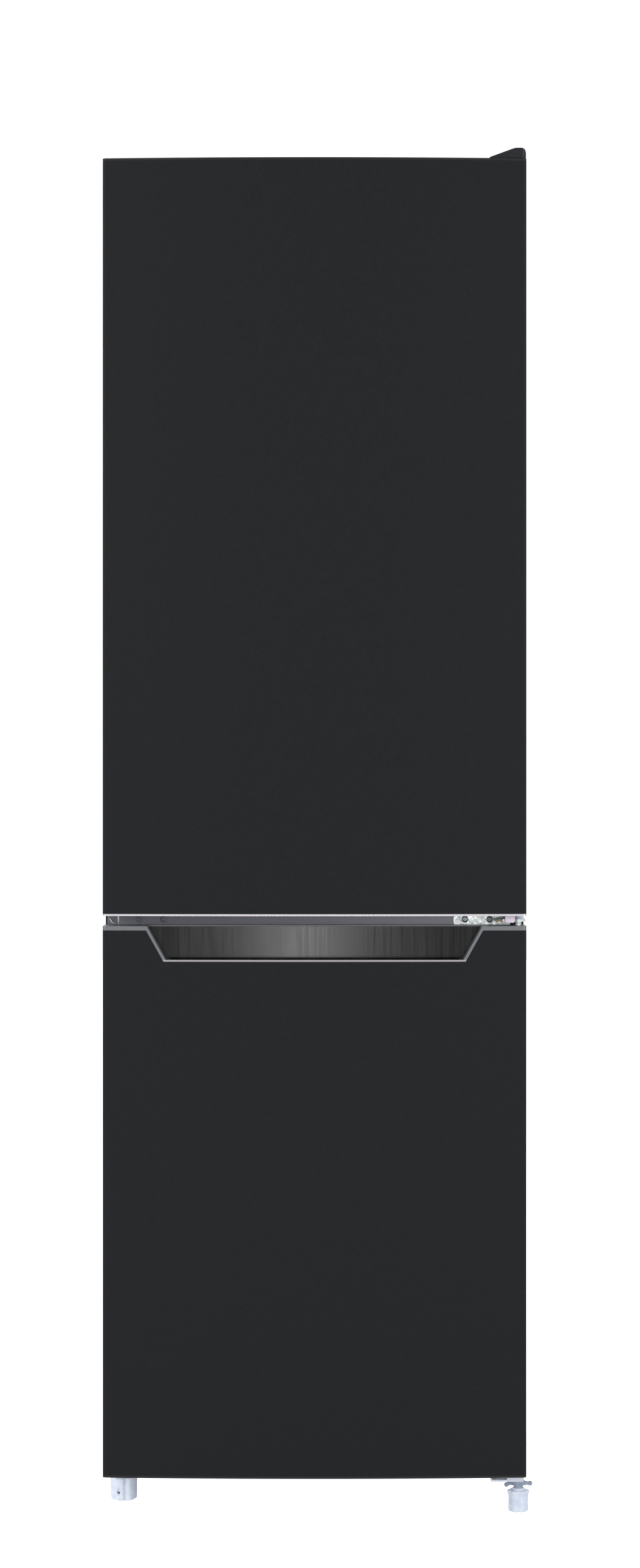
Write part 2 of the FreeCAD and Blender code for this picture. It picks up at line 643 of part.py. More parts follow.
def cabinet_foam():
    """Rigid foam between the steel shell and the liners."""
    half = HALF - SHEET
    back = CABINET_DEPTH - SHEET
    foam = wide(half, SHEET, back, PAN_Z + SHEET, CABINET_TOP - SHEET)
    bay = wide(half + 1, BAY_FRONT - SHEET, back + 1, PAN_Z, BAY_TOP + SHEET)
    faces = wide(FACE_HALF - FIT, 0, LINER, PAN_Z + SHEET, CABINET_TOP - FRONT_FLANGE)
    beam = wide(FACE_HALF - FIT, 0, BEAM_REACH, BEAM_BASE, BEAM_TOP)
    pocket = evaporator_plate()
    return foam.cut([bay, faces, beam, pocket, fridge_outside(), freezer_outside()])


def evaporator_plate():
    """Roll-bond plate in a pocket right behind the fridge liner."""
    y = FRIDGE_DEPTH + LINER
    low, high = FRIDGE_Z0 + EVAPORATOR_ABOVE, FRIDGE_Z1 - EVAPORATOR_BELOW
    return wide(FRIDGE_HALF - EVAPORATOR_INSET, y, y + EVAPORATOR_SHEET, low, high)


# ---- Hinges ----
def hinge_ear(z0, rear_y, inner_x):
    """Horizontal plate from the cabinet to the hinge axis, rounded around the axis."""
    front = AXIS_Y - EAR_R + 2
    plate = prism_along_z([
        (inner_x, rear_y), (inner_x, AXIS_Y + 14), (inner_x + 9, front),
        (AXIS_X - 8, front), (AXIS_X, AXIS_Y), (HALF - 2, AXIS_Y), (HALF - 2, rear_y),
    ], z0, z0 + PLATE)
    disc = rod(EAR_R, Vec(AXIS_X, AXIS_Y, z0), Z, PLATE)
    trim = block(HALF, HALF + EAR_R, AXIS_Y - EAR_R, AXIS_Y + EAR_R, z0 - 1, z0 + PLATE + 1)
    return fuse([plate, disc]).cut(trim)


def middle_hinge():
    """Flange screwed to the beam, ear with one pin up and one pin down."""
    low, high = BEAM_MID - FLANGE_HALF_HEIGHT, BEAM_MID + FLANGE_HALF_HEIGHT
    flange = block(SCREW_INNER - 15, FACE_HALF + 4, -PLATE, 0, low, high)
    flange = rounded(flange, 3.0, lambda e: runs_along(e, Y))
    for x in (SCREW_INNER, SCREW_OUTER):
        flange = flange.cut(screw_hole(x, -PLATE - 1, PLATE + 2))
    relief = block(SCREW_OUTER + 8, SCREW_OUTER + 16, -PLATE - 1, 1, high - 7.5, high + 1)
    flange = flange.cut(relief)
    ear = hinge_ear(MIDDLE_PLATE_Z, -PLATE / 2, SCREW_OUTER + 6)
    pin_length = DOOR_GAP / 2 - PLATE / 2 + PIN_REACH
    pin = rod(PIN_R, Vec(AXIS_X, AXIS_Y, BEAM_MID - pin_length - PLATE / 2), Z, 2 * pin_length + PLATE)
    return fuse([flange, ear, pin])


def hinge_sleeve():
    """Nylon washer that carries the upper door."""
    z = MIDDLE_PLATE_Z + PLATE
    height = UPPER_Z0 - z - FIT
    washer = many_sided(PIN_R + 3.5, Vec(AXIS_X, AXIS_Y, z), Z, height, 20)
    return washer.cut(rod(PIN_R + RUNNING, Vec(AXIS_X, AXIS_Y, z - 1), Z, height + 2))


def top_hinge():
    """Plate bolted to the cabinet's top, with a riveted pin into the upper door."""
    back = 70.0
    inner = AXIS_X - 25
    plate = prism_along_z([
        (inner, back), (inner, 4), (AXIS_X - EAR_R, AXIS_Y), (AXIS_X, AXIS_Y),
        (HALF - 5, 0), (HALF - 5, back),
    ], TOP_PLATE_Z, TOP_PLATE_Z + PLATE)
    disc = rod(EAR_R, Vec(AXIS_X, AXIS_Y, TOP_PLATE_Z), Z, PLATE)
    side = HALF - COVER_WALL - FIT
    trim = block(side, HALF + EAR_R, AXIS_Y - 2 * EAR_R, back, TOP_PLATE_Z - 1, TOP_PLATE_Z + PLATE + 1)
    hinge = fuse([plate, disc]).cut(trim)
    pin = rod(PIN_R, Vec(AXIS_X, AXIS_Y, TOP_PLATE_Z - PIN_REACH), Z, PIN_REACH + PLATE)
    rivet = many_sided(PIN_R + 2, Vec(AXIS_X, AXIS_Y, TOP_PLATE_Z + PLATE), Z, 1.5, 12)
    return fuse([hinge, pin, rivet])


def top_bolt_places():
    return ((AXIS_X - 13, 18), (AXIS_X - 13, 54), (AXIS_X - 1, 36))


def bolt_head(x, y, z, up):
    """Hexagon head seated on z."""
    return many_sided(BOLT_HEAD_R, Vec(x, y, z), Z * (1 if up else -1), BOLT_HEAD)


def hinge_bolts():
    """Heads of the three bolts in the top hinge and the three up into the bottom bracket."""
    heads = [bolt_head(x, y, TOP_PLATE_Z + PLATE, True) for x, y in top_bolt_places()]
    return heads + [bolt_head(x, y, BOTTOM_PLATE_Z, False) for x, y in bottom_bolt_places()]


def bottom_bolt_places():
    return ((AXIS_X - 70, 20), (AXIS_X - 70, 46), (AXIS_X - 16, 36))


def bottom_hinge():
    """Bracket under the cabinet: stiffening lip, threaded pivot boss, and a collar for the lock nut."""
    back = 60.0
    front = AXIS_Y - 12
    plate = prism_along_z([
        (AXIS_X - 84, back), (AXIS_X - 84, 4), (AXIS_X - 37, -4), (AXIS_X - 37, front),
        (AXIS_X + 6, front), (AXIS_X + 6, back),
    ], BOTTOM_PLATE_Z, BOTTOM_PLATE_Z + PLATE)
    lip = block(AXIS_X - 15.5, AXIS_X + 6, front, front + 2.5, BOTTOM_PLATE_Z - PLATE, BOTTOM_PLATE_Z + 1)
    pivot = turned([
        (0, FLOOR_GAP), (PIVOT_BOSS_R, FLOOR_GAP), (PIVOT_BOSS_R, PIVOT_TOP),
        (PIN_R, PIVOT_TOP), (PIN_R, PIVOT_TOP + PIN_REACH), (0, PIVOT_TOP + PIN_REACH),
    ], AXIS_X, AXIS_Y)
    collar = many_sided(NUT_SEAT_R, Vec(AXIS_X, AXIS_Y, NUT_SEAT_Z), Z, PLATE, 16)
    bore = rod(ROD_R + RUNNING, Vec(AXIS_X, AXIS_Y, NUT_SEAT_Z - 1), Z, LOWER_Z0 - NUT_SEAT_Z + 1)
    return fuse([plate, lip, pivot, collar]).cut(bore)


def cover_outline(inset):
    """(x, z) outline of the top hinge cover: low on the left, rising to a flat top."""
    left, right = HALF - COVER_WIDTH + inset, HALF - inset
    top = CABINET_TOP + COVER_TOP - inset
    low = CABINET_TOP + 1.0
    return [
        (left, CABINET_TOP), (left, low), (right - 17, top - 1.0), (right - 13, top),
        (right - 5, top), (right - 1.5, top - 2.0), (right, top - 6), (right, CABINET_TOP),
    ]


def top_hinge_cover():
    front, back = DOOR_EDGE + 6, 84.0
    outer = prism_along_y(cover_outline(0), front, back)
    outer = rounded(outer, 5.0, lambda e: upright(e) and e.Vertexes[0].Y < front + 1 and e.Length > 5)
    inner = prism_along_y(cover_outline(COVER_WALL), front + COVER_WALL, back - COVER_WALL)
    return outer.cut([inner, inner.translated(Vec(0, 0, -2))])


def beam_cover():
    """Strip over the middle beam, from the left bracket to the hinge's flange."""
    low, high = BEAM_MID - FLANGE_HALF_HEIGHT, BEAM_MID + FLANGE_HALF_HEIGHT
    strip = block(-FACE_HALF - 6.5, SCREW_INNER - 15 - FIT, -STRIP_SHEET, 0, low, high)
    for x in (-SCREW_INNER, -SCREW_OUTER):
        strip = strip.cut(screw_hole(x, -STRIP_SHEET - 1, STRIP_SHEET + 2))
    return strip


def left_bracket():
    """Blanking bracket at the beam's left end, with a cut-out, for doors hung on the other side."""
    x0 = -HALF + 2.5
    x1 = -FACE_HALF - 6.5 - FIT
    plate = block(x0, x1, -PLATE, 0, BEAM_MID - FLANGE_HALF_HEIGHT, BEAM_MID + FLANGE_HALF_HEIGHT)
    plate = rounded(plate, 2.5, lambda e: runs_along(e, Y))
    notch = prism_along_y([
        (x0 + 4, BEAM_MID - 3), (x0 + 9, BEAM_MID - 3), (x0 + 11, BEAM_MID + 3), (x0 + 4, BEAM_MID + 3),
    ], -PLATE - 1, -PLATE / 2)
    return plate.cut(notch)


def beam_screws():
    """Cross-head screws: two through the strip, two through the middle hinge."""
    screws = []
    for x, seat in (
        (-SCREW_OUTER, STRIP_SHEET), (-SCREW_INNER, STRIP_SHEET), (SCREW_INNER, PLATE), (SCREW_OUTER, PLATE),
    ):
        head = many_sided(SCREW_HEAD_R, Vec(x, -seat, BEAM_MID), Y * -1, SCREW_HEAD, 16)
        shank = many_sided(SCREW_R, Vec(x, -seat, BEAM_MID), Y, SCREW_LENGTH)
        slot_y0, slot_y1 = -seat - SCREW_HEAD - 1, -seat - SCREW_HEAD / 2
        cross = [
            block(x - across, x + across, slot_y0, slot_y1, BEAM_MID - up, BEAM_MID + up)
            for across, up in ((CROSS_HALF, CROSS_SLOT), (CROSS_SLOT, CROSS_HALF))
        ]
        screws.append(fuse([head, shank]).cut(cross))
    return screws


# ---- Feet and lock nut ----
def lobed_ring(radius, x, y, z, lobes, flute):
    """Ring of points with hollows between its lobes; flute is their depth as a share of the radius."""
    points = []
    for lobe in range(lobes):
        for share, depth in ((-0.3, 0), (-0.1, -0.02), (0.1, -0.02), (0.3, 0), (0.42, flute), (0.58, flute)):
            angle = (lobe + share) * 2 * math.pi / lobes
            reach = radius * (1 - depth)
            points.append(Vec(x + reach * math.cos(angle), y + reach * math.sin(angle), z))
    return points


def right_foot():
    """Fluted knob with a flared crown and a lobed base, moulded on a threaded rod."""
    h, r = RIGHT_FOOT_HEIGHT, RIGHT_FOOT_R
    profile = ((r - 3, 0), (r - 1.2, 1.5), (r - 1.2, 6), (r - 2.6, 9), (r - 2.6, h - 9), (r, h - 4), (r, h))
    knob = stacked([lobed_ring(radius, AXIS_X, AXIS_Y, z, 8, 0.16) for radius, z in profile])
    neck = many_sided(ROD_R + 2.5, Vec(AXIS_X, AXIS_Y, h), Z, 1.2, 16)
    screw = rod(ROD_R, Vec(AXIS_X, AXIS_Y, h), Z, LOWER_Z0 - 0.5 - h)
    return fuse([knob, neck, screw])


def wing_nut():
    """Lock nut with two rounded wings, run up against the bottom hinge's collar."""
    top = NUT_SEAT_Z - FIT
    base = top - NUT_HEIGHT
    hub = many_sided(NUT_HUB_R, Vec(AXIS_X, AXIS_Y, base), Z, NUT_HEIGHT, 20)
    reach, thick = NUT_SPAN / 2, 2.2
    wings = []
    for side, low in ((-1, base), (1, base + 0.8)):
        high = low + NUT_WING
        x0, x1 = AXIS_X, AXIS_X + side * reach
        outline = [
            (x0, low), (x1 - side * 3, low), (x1 - side * 0.8, low + 1.5), (x1, low + 4),
            (x1 - side * 0.8, high - 1.5), (x1 - side * 3, high), (x1 - side * 7, high - 1), (x0, high - 1.5),
        ]
        wings.append(prism_along_y(outline, AXIS_Y - thick, AXIS_Y + thick))
    bore = rod(ROD_R + RUNNING, Vec(AXIS_X, AXIS_Y, base - 1), Z, NUT_HEIGHT + 2)
    return fuse([hub] + wings).cut(bore)


def left_foot():
    """Broad knob with deep flutes and a cross hole, on a threaded rod into the crossmember."""
    h, r = LEFT_FOOT_HEIGHT, LEFT_FOOT_R
    profile = ((r - 3, 0), (r, 3), (r, h - 3.5), (r - 1.5, h - 2), (r - 1.5, h))
    knob = stacked([lobed_ring(radius, LEFT_FOOT_X, LEFT_FOOT_Y, z, 6, 0.17) for radius, z in profile])
    screw = rod(ROD_R, Vec(LEFT_FOOT_X, LEFT_FOOT_Y, h), Z, PAN_Z - 1 - h)
    hole = many_sided(2.0, Vec(LEFT_FOOT_X - 6, LEFT_FOOT_Y - r - 1, h / 2 - 2), Y, 2 * r + 2, 12)
    return fuse([knob, screw]).cut(hole)


# ---- Doors ----
def bush(z_flange, up):
    """Nylon bush: flange at z_flange, sleeve going up or down into the door."""
    sign = 1 if up else -1
    sleeve = many_sided(BUSH_R, Vec(AXIS_X, AXIS_Y, z_flange), Z * sign, PIN_REACH + 1, 12)
    flange = many_sided(BUSH_FLANGE_R, Vec(AXIS_X, AXIS_Y, z_flange), Z * sign, BUSH_FLANGE, 12)
    bore = rod(PIN_R + RUNNING, Vec(AXIS_X, AXIS_Y, z_flange - sign), Z * sign, PIN_REACH + 3)
    return fuse([sleeve, flange]).cut(bore)


def bush_seat(z_flange, up):
    """The space a bush takes in its cap, with its bore."""
    sign = 1 if up else -1
    sleeve = many_sided(BUSH_R, Vec(AXIS_X, AXIS_Y, z_flange), Z * sign, PIN_REACH + 2, 12)
    flange = many_sided(BUSH_FLANGE_R, Vec(AXIS_X, AXIS_Y, z_flange - sign), Z * sign, BUSH_FLANGE + 1, 12)
    return fuse([sleeve, flange])


def end_cap(edge_z, up, edge):
    """Moulded cap: a visible edge plate, a rim inside the skin and a socket for the bush.
    up is the way from the door's end towards its middle."""
    sign = 1 if up else -1
    plate_z = sorted((edge_z, edge_z + sign * edge))
    rim_z = sorted((edge_z + sign * edge, edge_z + sign * (edge + CAP_SPIGOT)))
    back = DOOR_BACK - DOOR_LINER
    rim = door_slab(*rim_z, SHEET, back).cut(door_slab(*rim_z, SHEET + CAP_WALL, back - CAP_WALL))
    socket = many_sided(BOSS_R, Vec(AXIS_X, AXIS_Y, edge_z), Z * sign, PIN_REACH + PIVOT_BOSS + 6, 12)
    socket = socket.common(door_slab(edge_z - 60, edge_z + 60, SHEET, back))
    return fuse([door_slab(*plate_z), rim, socket])


def door_skin(z0, z1):
    """Bowed steel skin with side returns and narrow lips behind."""
    inner = door_slab(z0 - 1, z1 + 1, SHEET, DOOR_BACK - SHEET)
    window = wide(HALF - SKIN_LIP, DOOR_BACK - SHEET - 1, DOOR_BACK + 1, z0 - 1, z1 + 1)
    return door_slab(z0, z1).cut([inner, window])


def dyke(half, z0, z1, reach, grow):
    """Raised rim on the inner side of the door from z0 to z1, solid; grow thickens every side."""
    end = DOOR_OVERLAP + DYKE_END_CLEARANCE + DOOR_LINER - grow
    step = DYKE_WIDTH - 2 * (DOOR_LINER - grow)
    y0, y1 = DOOR_BACK - DOOR_LINER, reach - DOOR_LINER + grow
    half += grow - DOOR_LINER
    outer = frustum(half, z0 + end, z1 - end, DYKE_RADIUS, y0, y1, DYKE_DRAFT)
    hole = frustum(half - step, z0 + end + step, z1 - end - step, DYKE_RADIUS, y1 + 1, y0 - 1, DYKE_DRAFT)
    return outer.cut(hole)


def door_liner(half, z0, z1, skin_z0, skin_z1, reach):
    """Inner liner: a flat field and the hollow rim."""
    plate = wide(HALF - SKIN_LIP - FIT, DOOR_BACK - DOOR_LINER, DOOR_BACK, skin_z0, skin_z1)
    return fuse([plate, dyke(half, z0, z1, reach, DOOR_LINER)])


def door_foam(half, z0, z1, skin_z0, skin_z1, reach, removed):
    """Foam that fills the skin and the liner's rim, less what is set into it."""
    core = door_slab(skin_z0, skin_z1, SHEET, DOOR_BACK - DOOR_LINER)
    return fuse([core, dyke(half, z0, z1, reach, 0.0)]).cut(removed)


def gasket(z0, z1):
    """Magnetic gasket: retained base, narrow bellows and a wide sealing bulb."""
    half = HALF - SEAL_INSET
    low, high = z0 + SEAL_INSET, z1 - SEAL_INSET
    front, back = DOOR_BACK, -SEAL_GAP
    base_y, neck_y = front + 3.5, back - 6.0
    base = frame_on_xz(half - 1.5, low + 1.5, high - 1.5, SEAL_WIDTH - 3, front, base_y)
    neck = frame_on_xz(half - 5, low + 5, high - 5, SEAL_WIDTH - 10, base_y - 0.5, neck_y + 0.5)
    bulb = frame_on_xz(half, low, high, SEAL_WIDTH, neck_y, back)
    return fuse([base, neck, bulb])


def notch(y0, y1):
    """The grip recess's outline: wide at the door's top edge, narrow at its floor."""
    outline = [
        (-GRIP_BOTTOM_HALF, GRIP_FLOOR), (GRIP_BOTTOM_HALF, GRIP_FLOOR),
        (GRIP_TOP_HALF, LOWER_Z1), (-GRIP_TOP_HALF, LOWER_Z1),
    ]
    return prism_along_y(outline, y0, y1)


def recess_space(y1):
    """Air of the recess in front of the plate, inside the trims."""
    low = GRIP_FLOOR + GRIP_BOTTOM_TRIM
    slope = (GRIP_TOP_HALF - GRIP_BOTTOM_HALF) / GRIP_HEIGHT
    top_half = GRIP_TOP_HALF - GRIP_SIDE_TRIM + slope
    bottom_half = top_half - slope * (GRIP_HEIGHT - GRIP_BOTTOM_TRIM + 1)
    outline = [(-bottom_half, low), (bottom_half, low), (top_half, LOWER_Z1 + 1), (-top_half, LOWER_Z1 + 1)]
    return prism_along_y(outline, DOOR_NOSE - 5, y1)


def pocket_space(y1):
    """Finger pocket that goes down behind the recess's front edge."""
    half = GRIP_BOTTOM_HALF - GRIP_SIDE_TRIM - POCKET_WALL
    low = GRIP_FLOOR - POCKET
    pocket = wide(half, DOOR_EDGE + POCKET_WALL + SHEET, y1, low, GRIP_FLOOR + GRIP_BOTTOM_TRIM + 1)

    def front_bottom(e):
        return runs_along(e, X) and e.Vertexes[0].Z < low + 1 and e.Vertexes[0].Y < y1 - 1

    return rounded(pocket, 5.0, front_bottom)


def grip_body():
    """Everything the grip moulding fills or encloses in the lower door."""
    back = GRIP_BACK + GRIP_SHEET + CAP_WALL
    upper = notch(DOOR_NOSE - 5, back)
    half = GRIP_BOTTOM_HALF - GRIP_SIDE_TRIM
    lower = wide(half, DOOR_EDGE + SHEET + FIT, back, GRIP_FLOOR - POCKET - POCKET_WALL, GRIP_FLOOR + 5)
    return fuse([upper, lower])


def grip_moulding():
    """Silver-grey moulding: shoulders, inclined trims, lower trim, pocket and top edge in one piece."""
    band = end_cap(LOWER_Z1, False, SHOULDER)
    body = grip_body().common(door_slab(GRIP_FLOOR - 60, LOWER_Z1))
    plate_back = GRIP_BACK + GRIP_SHEET
    air = [recess_space(plate_back), pocket_space(plate_back)]
    seat = bush_seat(LOWER_Z1, False)
    return fuse([band.cut(grip_body()), body]).cut(air + [seat])


def grip_plate():
    """Brushed metal plate at the back of the recess and the pocket."""
    upper = recess_space(GRIP_BACK + GRIP_SHEET)
    lower = pocket_space(GRIP_BACK + GRIP_SHEET)
    slab = wide(HALF, GRIP_BACK, GRIP_BACK + GRIP_SHEET, GRIP_FLOOR - POCKET, LOWER_Z1 - 1.5)
    return fuse([upper, lower]).common(slab)


def pivot_recess():
    """Space in the lower door's bottom around the threaded pivot boss."""
    start = Vec(AXIS_X, AXIS_Y, LOWER_Z0 - 1)
    return rod(PIVOT_BOSS_R + PIVOT_CLEARANCE, start, Z, PIVOT_TOP + FIT - start.z)


def lower_bottom_cap():
    cap = end_cap(LOWER_Z0, True, CAP_EDGE)
    return cap.cut([pivot_recess(), bush_seat(PIVOT_TOP + FIT, True)])


def groove_space():
    """Finger groove in the upper door's bottom edge, behind its front."""
    y0, y1 = DOOR_EDGE + POCKET_WALL + SHEET + 4, DOOR_EDGE + GRIP_DEPTH + 6
    groove = wide(GROOVE_HALF, y0, y1, UPPER_Z0 - 1, UPPER_Z0 + UPPER_GROOVE)
    return rounded(groove, 5.0, lambda e: runs_along(e, X) and e.Vertexes[0].Z > UPPER_Z0 + 1)


def groove_body():
    y0, y1 = DOOR_EDGE + SHEET + 4, DOOR_EDGE + GRIP_DEPTH + 6 + CAP_WALL
    return wide(GROOVE_HALF + CAP_WALL, y0, y1, UPPER_Z0, UPPER_Z0 + UPPER_GROOVE + CAP_WALL)


def upper_bottom_cap():
    cap = end_cap(UPPER_Z0, True, SILVER_EDGE)
    return fuse([cap, groove_body()]).cut([groove_space(), bush_seat(UPPER_Z0, True)])


def upper_top_cap():
    return end_cap(UPPER_Z1, False, CAP_EDGE).cut(bush_seat(UPPER_Z1, False))


def door_stop():
    """Nylon lug under the upper door, in front of the middle hinge's ear."""
    x0, x1 = AXIS_X - 18, AXIS_X - 5.5
    y0 = AXIS_Y - 20
    lug = block(x0, x1, y0, y0 + 6, UPPER_Z0 - DOOR_GAP + 4, UPPER_Z0)
    return rounded(lug, 2.5, lambda e: runs_along(e, Y) and e.Vertexes[0].Z < UPPER_Z0 - 1)


def door_bin(z0, height):
    """Bin between the rim's sides: bowed front wall, open top, slots over the liner's lugs."""
    half = BIN_HALF
    back = DOOR_BACK + FIT
    front = DOOR_BACK + BIN_REACH - BIN_CROWN
    nose = front + BIN_CROWN
    top = z0 + height
    w = BIN_WALL
    outer = bowed(half, back, front, nose, z0, top, BIN_CORNER)
    inner = bowed(half - w, back + w, front - w, nose - w, z0 + w, top + 1, BIN_CORNER - w)
    rim = bowed(half, back, front + BIN_RIM, nose + BIN_RIM, top - 4, top, BIN_CORNER)
    tray = fuse([outer, rim]).cut(inner)
    slot = wide(half + 1, back + BIN_SLOT_Y, back + BIN_SLOT_Y + BIN_SLOT, z0 - 1, z0 + BIN_SLOT_HEIGHT)
    between = wide(half - w, back, back + 2 * BIN_SLOT_Y, z0 - 2, z0 + BIN_SLOT_HEIGHT + 1)
    return tray.cut(slot.cut(between))


def bin_lugs():
    """Lugs on the rim's inner sides that carry the bins."""
    inner = BIN_HALF - BIN_WALL + FIT
    lugs = []
    slot_y = DOOR_BACK + FIT + BIN_SLOT_Y
    for z0 in BIN_FLOORS:
        top = z0 + BIN_SLOT_HEIGHT - FIT
        lug = block(inner, inner + DYKE_DRAFT + 3, slot_y + FIT, slot_y + BIN_SLOT - FIT, top - 12, top)
        lugs += both_sides(lug)
    return lugs


def egg_tray():
    """Shallow tray with two rows of egg cups, standing in the top bin."""
    half = BIN_HALF
    base = BIN_FLOORS[-1] + BIN_WALL
    front = DOOR_BACK + BIN_REACH - BIN_CROWN - EGG_TRAY_FRONT
    tray = wide(half - EGG_TRAY_INSET, DOOR_BACK + EGG_TRAY_BACK, front, base, base + EGG_TRAY_HEIGHT)
    cups = []
    for column in range(-2, 3):
        for row in EGG_ROWS:
            centre = Vec(column * EGG_PITCH, DOOR_BACK + row, base + 6)
            cups.append(many_sided(EGG_CUP_R, centre, Z, EGG_TRAY_HEIGHT, 8))
    return tray.cut(cups)


# ---- Interior fittings ----
def shelf(z):
    """Glass plate on the liner's ledges, its rear corners cut off."""
    glass = wide(FRIDGE_HALF - 2, SHELF_FRONT, FRIDGE_DEPTH - 6, z - GLASS, z)
    return rear_corners_cut(glass, SHELF_CORNER)


def rear_corners_cut(plate, size):
    middle = plate.BoundBox.Center.y
    return plate.makeChamfer(size, [e for e in plate.Edges if upright(e) and e.Vertexes[0].Y > middle])


def shelf_trim(z, y_front):
    """Extruded trim clipped on a shelf's front edge."""
    half, ease = FRIDGE_HALF - TRIM_INSET, TRIM_WALL
    y0, y1, low, high = y_front - TRIM_FRONT, y_front + TRIM_BACK, z - GLASS - TRIM_WALL, z + TRIM_WALL
    return prism_along_x([
        (y1, low), (y1, z - GLASS), (y_front, z - GLASS), (y_front, z), (y1, z), (y1, high),
        (y0 + ease, high), (y0 + ease / 4, high - ease / 4), (y0, high - ease),
        (y0, low + ease), (y0 + ease / 4, low + ease / 4), (y0 + ease, low),
    ], -half, half)


def drawer(half, y0, y1, z0, z1, wall=DRAWER_WALL, front=16.0):
    """Open tray with a thick front and a finger slot under the front's top edge."""
    body = wide(half - 6, y0 + front / 2, y1, z0, z1 - 18)
    body = rear_corners_cut(body, DRAWER_CORNER)
    face = wide(half, y0, y0 + front, z0, z1)
    face = rounded(face, 5.0, lambda e: runs_along(e, X) and e.Vertexes[0].Y < y0 + 1)
    air = wide(half - 6 - wall, y0 + front, y1 - wall, z0 + wall, z1 + 1)
    finger = wide(60, y0 - 1, y0 + front - 4, z1 - 34, z1 - 14)
    return fuse([body, face]).cut([air, finger])


def crisper_drawer():
    half = FRIDGE_HALF - LINER_RADIUS
    top = CRISPER_TOP - GLASS - 8
    return drawer(half, SHELF_FRONT + 6, FRIDGE_DEPTH - 22, FRIDGE_Z0 + FIT, top)


def freezer_drawers():
    half = FREEZER_HALF - LINER_RADIUS
    front = 24.0
    shelf_low, shelf_high = FREEZER_SHELVES
    back = FREEZER_DEPTH - 16
    return [
        drawer(half, front, STEP_Y - 16, FREEZER_Z0 + FIT, shelf_low - GLASS - 8),
        drawer(half, front, back, shelf_low + FIT, shelf_high - GLASS - 8),
        drawer(half, front, back, shelf_high + FIT, FREEZER_Z1 - 10),
    ]


def freezer_shelf(z):
    plate = wide(FREEZER_HALF - 2, 20, FREEZER_DEPTH - 8, z - GLASS, z)
    return rear_corners_cut(plate, SHELF_CORNER)


def control_housing():
    """Thermostat and lamp housing on the right wall, hollow behind the lamp cover."""
    x1 = FRIDGE_HALF
    x0 = x1 - CONTROL_REACH
    box = block(x0, x1, CONTROL_FRONT, CONTROL_BACK, CONTROL_Z0, CONTROL_Z1)
    box = rounded(box, 8.0, lambda e: (runs_along(e, Z) or runs_along(e, Y)) and e.Vertexes[0].X < x0 + 1)
    y0, y1, z0, z1 = lamp_window()
    lamp = block(x0 - 1, x1 - 8, y0, y1, z0, z1)
    spindle = rod(SPINDLE_R + RUNNING, Vec(x0 - 1, KNOB_Y, (CONTROL_Z0 + CONTROL_Z1) / 2), X, 16)
    return box.cut([lamp, spindle])


def lamp_window():
    """Opening of the lamp's recess: y0, y1, z0, z1."""
    return CONTROL_FRONT + 10, KNOB_Y - KNOB_R - 12, CONTROL_Z0 + 10, CONTROL_Z1 - 10


def lamp_cover():
    x0 = FRIDGE_HALF - CONTROL_REACH
    y0, y1, z0, z1 = lamp_window()
    cover = block(x0 - 2, x0 + 2, y0 + FIT, y1 - FIT, z0 + FIT, z1 - FIT)
    return rounded(cover, 1.5, lambda e: runs_along(e, Y) and e.Vertexes[0].X < x0)


def thermostat_knob():
    """Dial with a finger bar across it, on a spindle, facing the middle of the compartment."""
    x0 = FRIDGE_HALF - CONTROL_REACH - FIT
    z = (CONTROL_Z0 + CONTROL_Z1) / 2
    dial = many_sided(KNOB_R, Vec(x0, KNOB_Y, z), X * -1, 5, 30)
    tip = KNOB_R - 1
    bar = prism_along_x([
        (KNOB_Y - 3.5, z - tip + 3), (KNOB_Y, z - tip), (KNOB_Y + 3.5, z - tip + 3),
        (KNOB_Y + 2.5, z + tip - 2), (KNOB_Y, z + tip), (KNOB_Y - 2.5, z + tip - 2),
    ], x0 - 15, x0)
    spindle = rod(SPINDLE_R, Vec(x0, KNOB_Y, z), X, 12)
    return fuse([dial, bar, spindle])


# ---- Machinery ----
def around_compressor(half_x, half_y, z0, z1):
    """Block centred on the compressor's upright axis."""
    return block(
        COMPRESSOR_X - half_x, COMPRESSOR_X + half_x, COMPRESSOR_Y - half_y, COMPRESSOR_Y + half_y, z0, z1
    )


def stadium_ring(reach, z, steps=10):
    """Ring of points around the compressor's upright axis, with half-round ends."""
    points = []
    for side, first in ((1, -0.5), (-1, 0.5)):
        for step in range(steps + 1):
            angle = (first + step / steps) * math.pi
            x = COMPRESSOR_X + side * COMPRESSOR_END + reach * math.cos(angle)
            points.append(Vec(x, COMPRESSOR_Y + reach * math.sin(angle), z))
    return points


def compressor_shell():
    """Hermetic shell: domed halves with half-round ends, welded at a seam flange."""
    z, height, width = COMPRESSOR_Z0, COMPRESSOR_HEIGHT, COMPRESSOR_HALF_WIDTH
    seam_z, seam = z + height * 0.52, width + COMPRESSOR_SEAM
    turns = [i * math.pi / 6 for i in range(4)]
    dome = [(COMPRESSOR_DOME * (1 - math.sin(a)), COMPRESSOR_DOME * (1 - math.cos(a))) for a in turns]
    lower = [(width - inset, z + rise) for inset, rise in dome]
    upper = [(width - inset, z + height - rise) for inset, rise in dome[::-1]]
    middle = [(width, seam_z), (seam, seam_z), (seam, seam_z + 5), (width, seam_z + 5)]
    return stacked([stadium_ring(reach, level) for reach, level in lower + middle + upper])


def compressor():
    return fuse([compressor_shell(), compressor_feet()])


def mount_places():
    sides = [(sx, sy) for sx in (-1, 1) for sy in (-1, 1)]
    return [(COMPRESSOR_X + sx * MOUNT_HALF_LENGTH, COMPRESSOR_Y + sy * MOUNT_HALF_WIDTH) for sx, sy in sides]


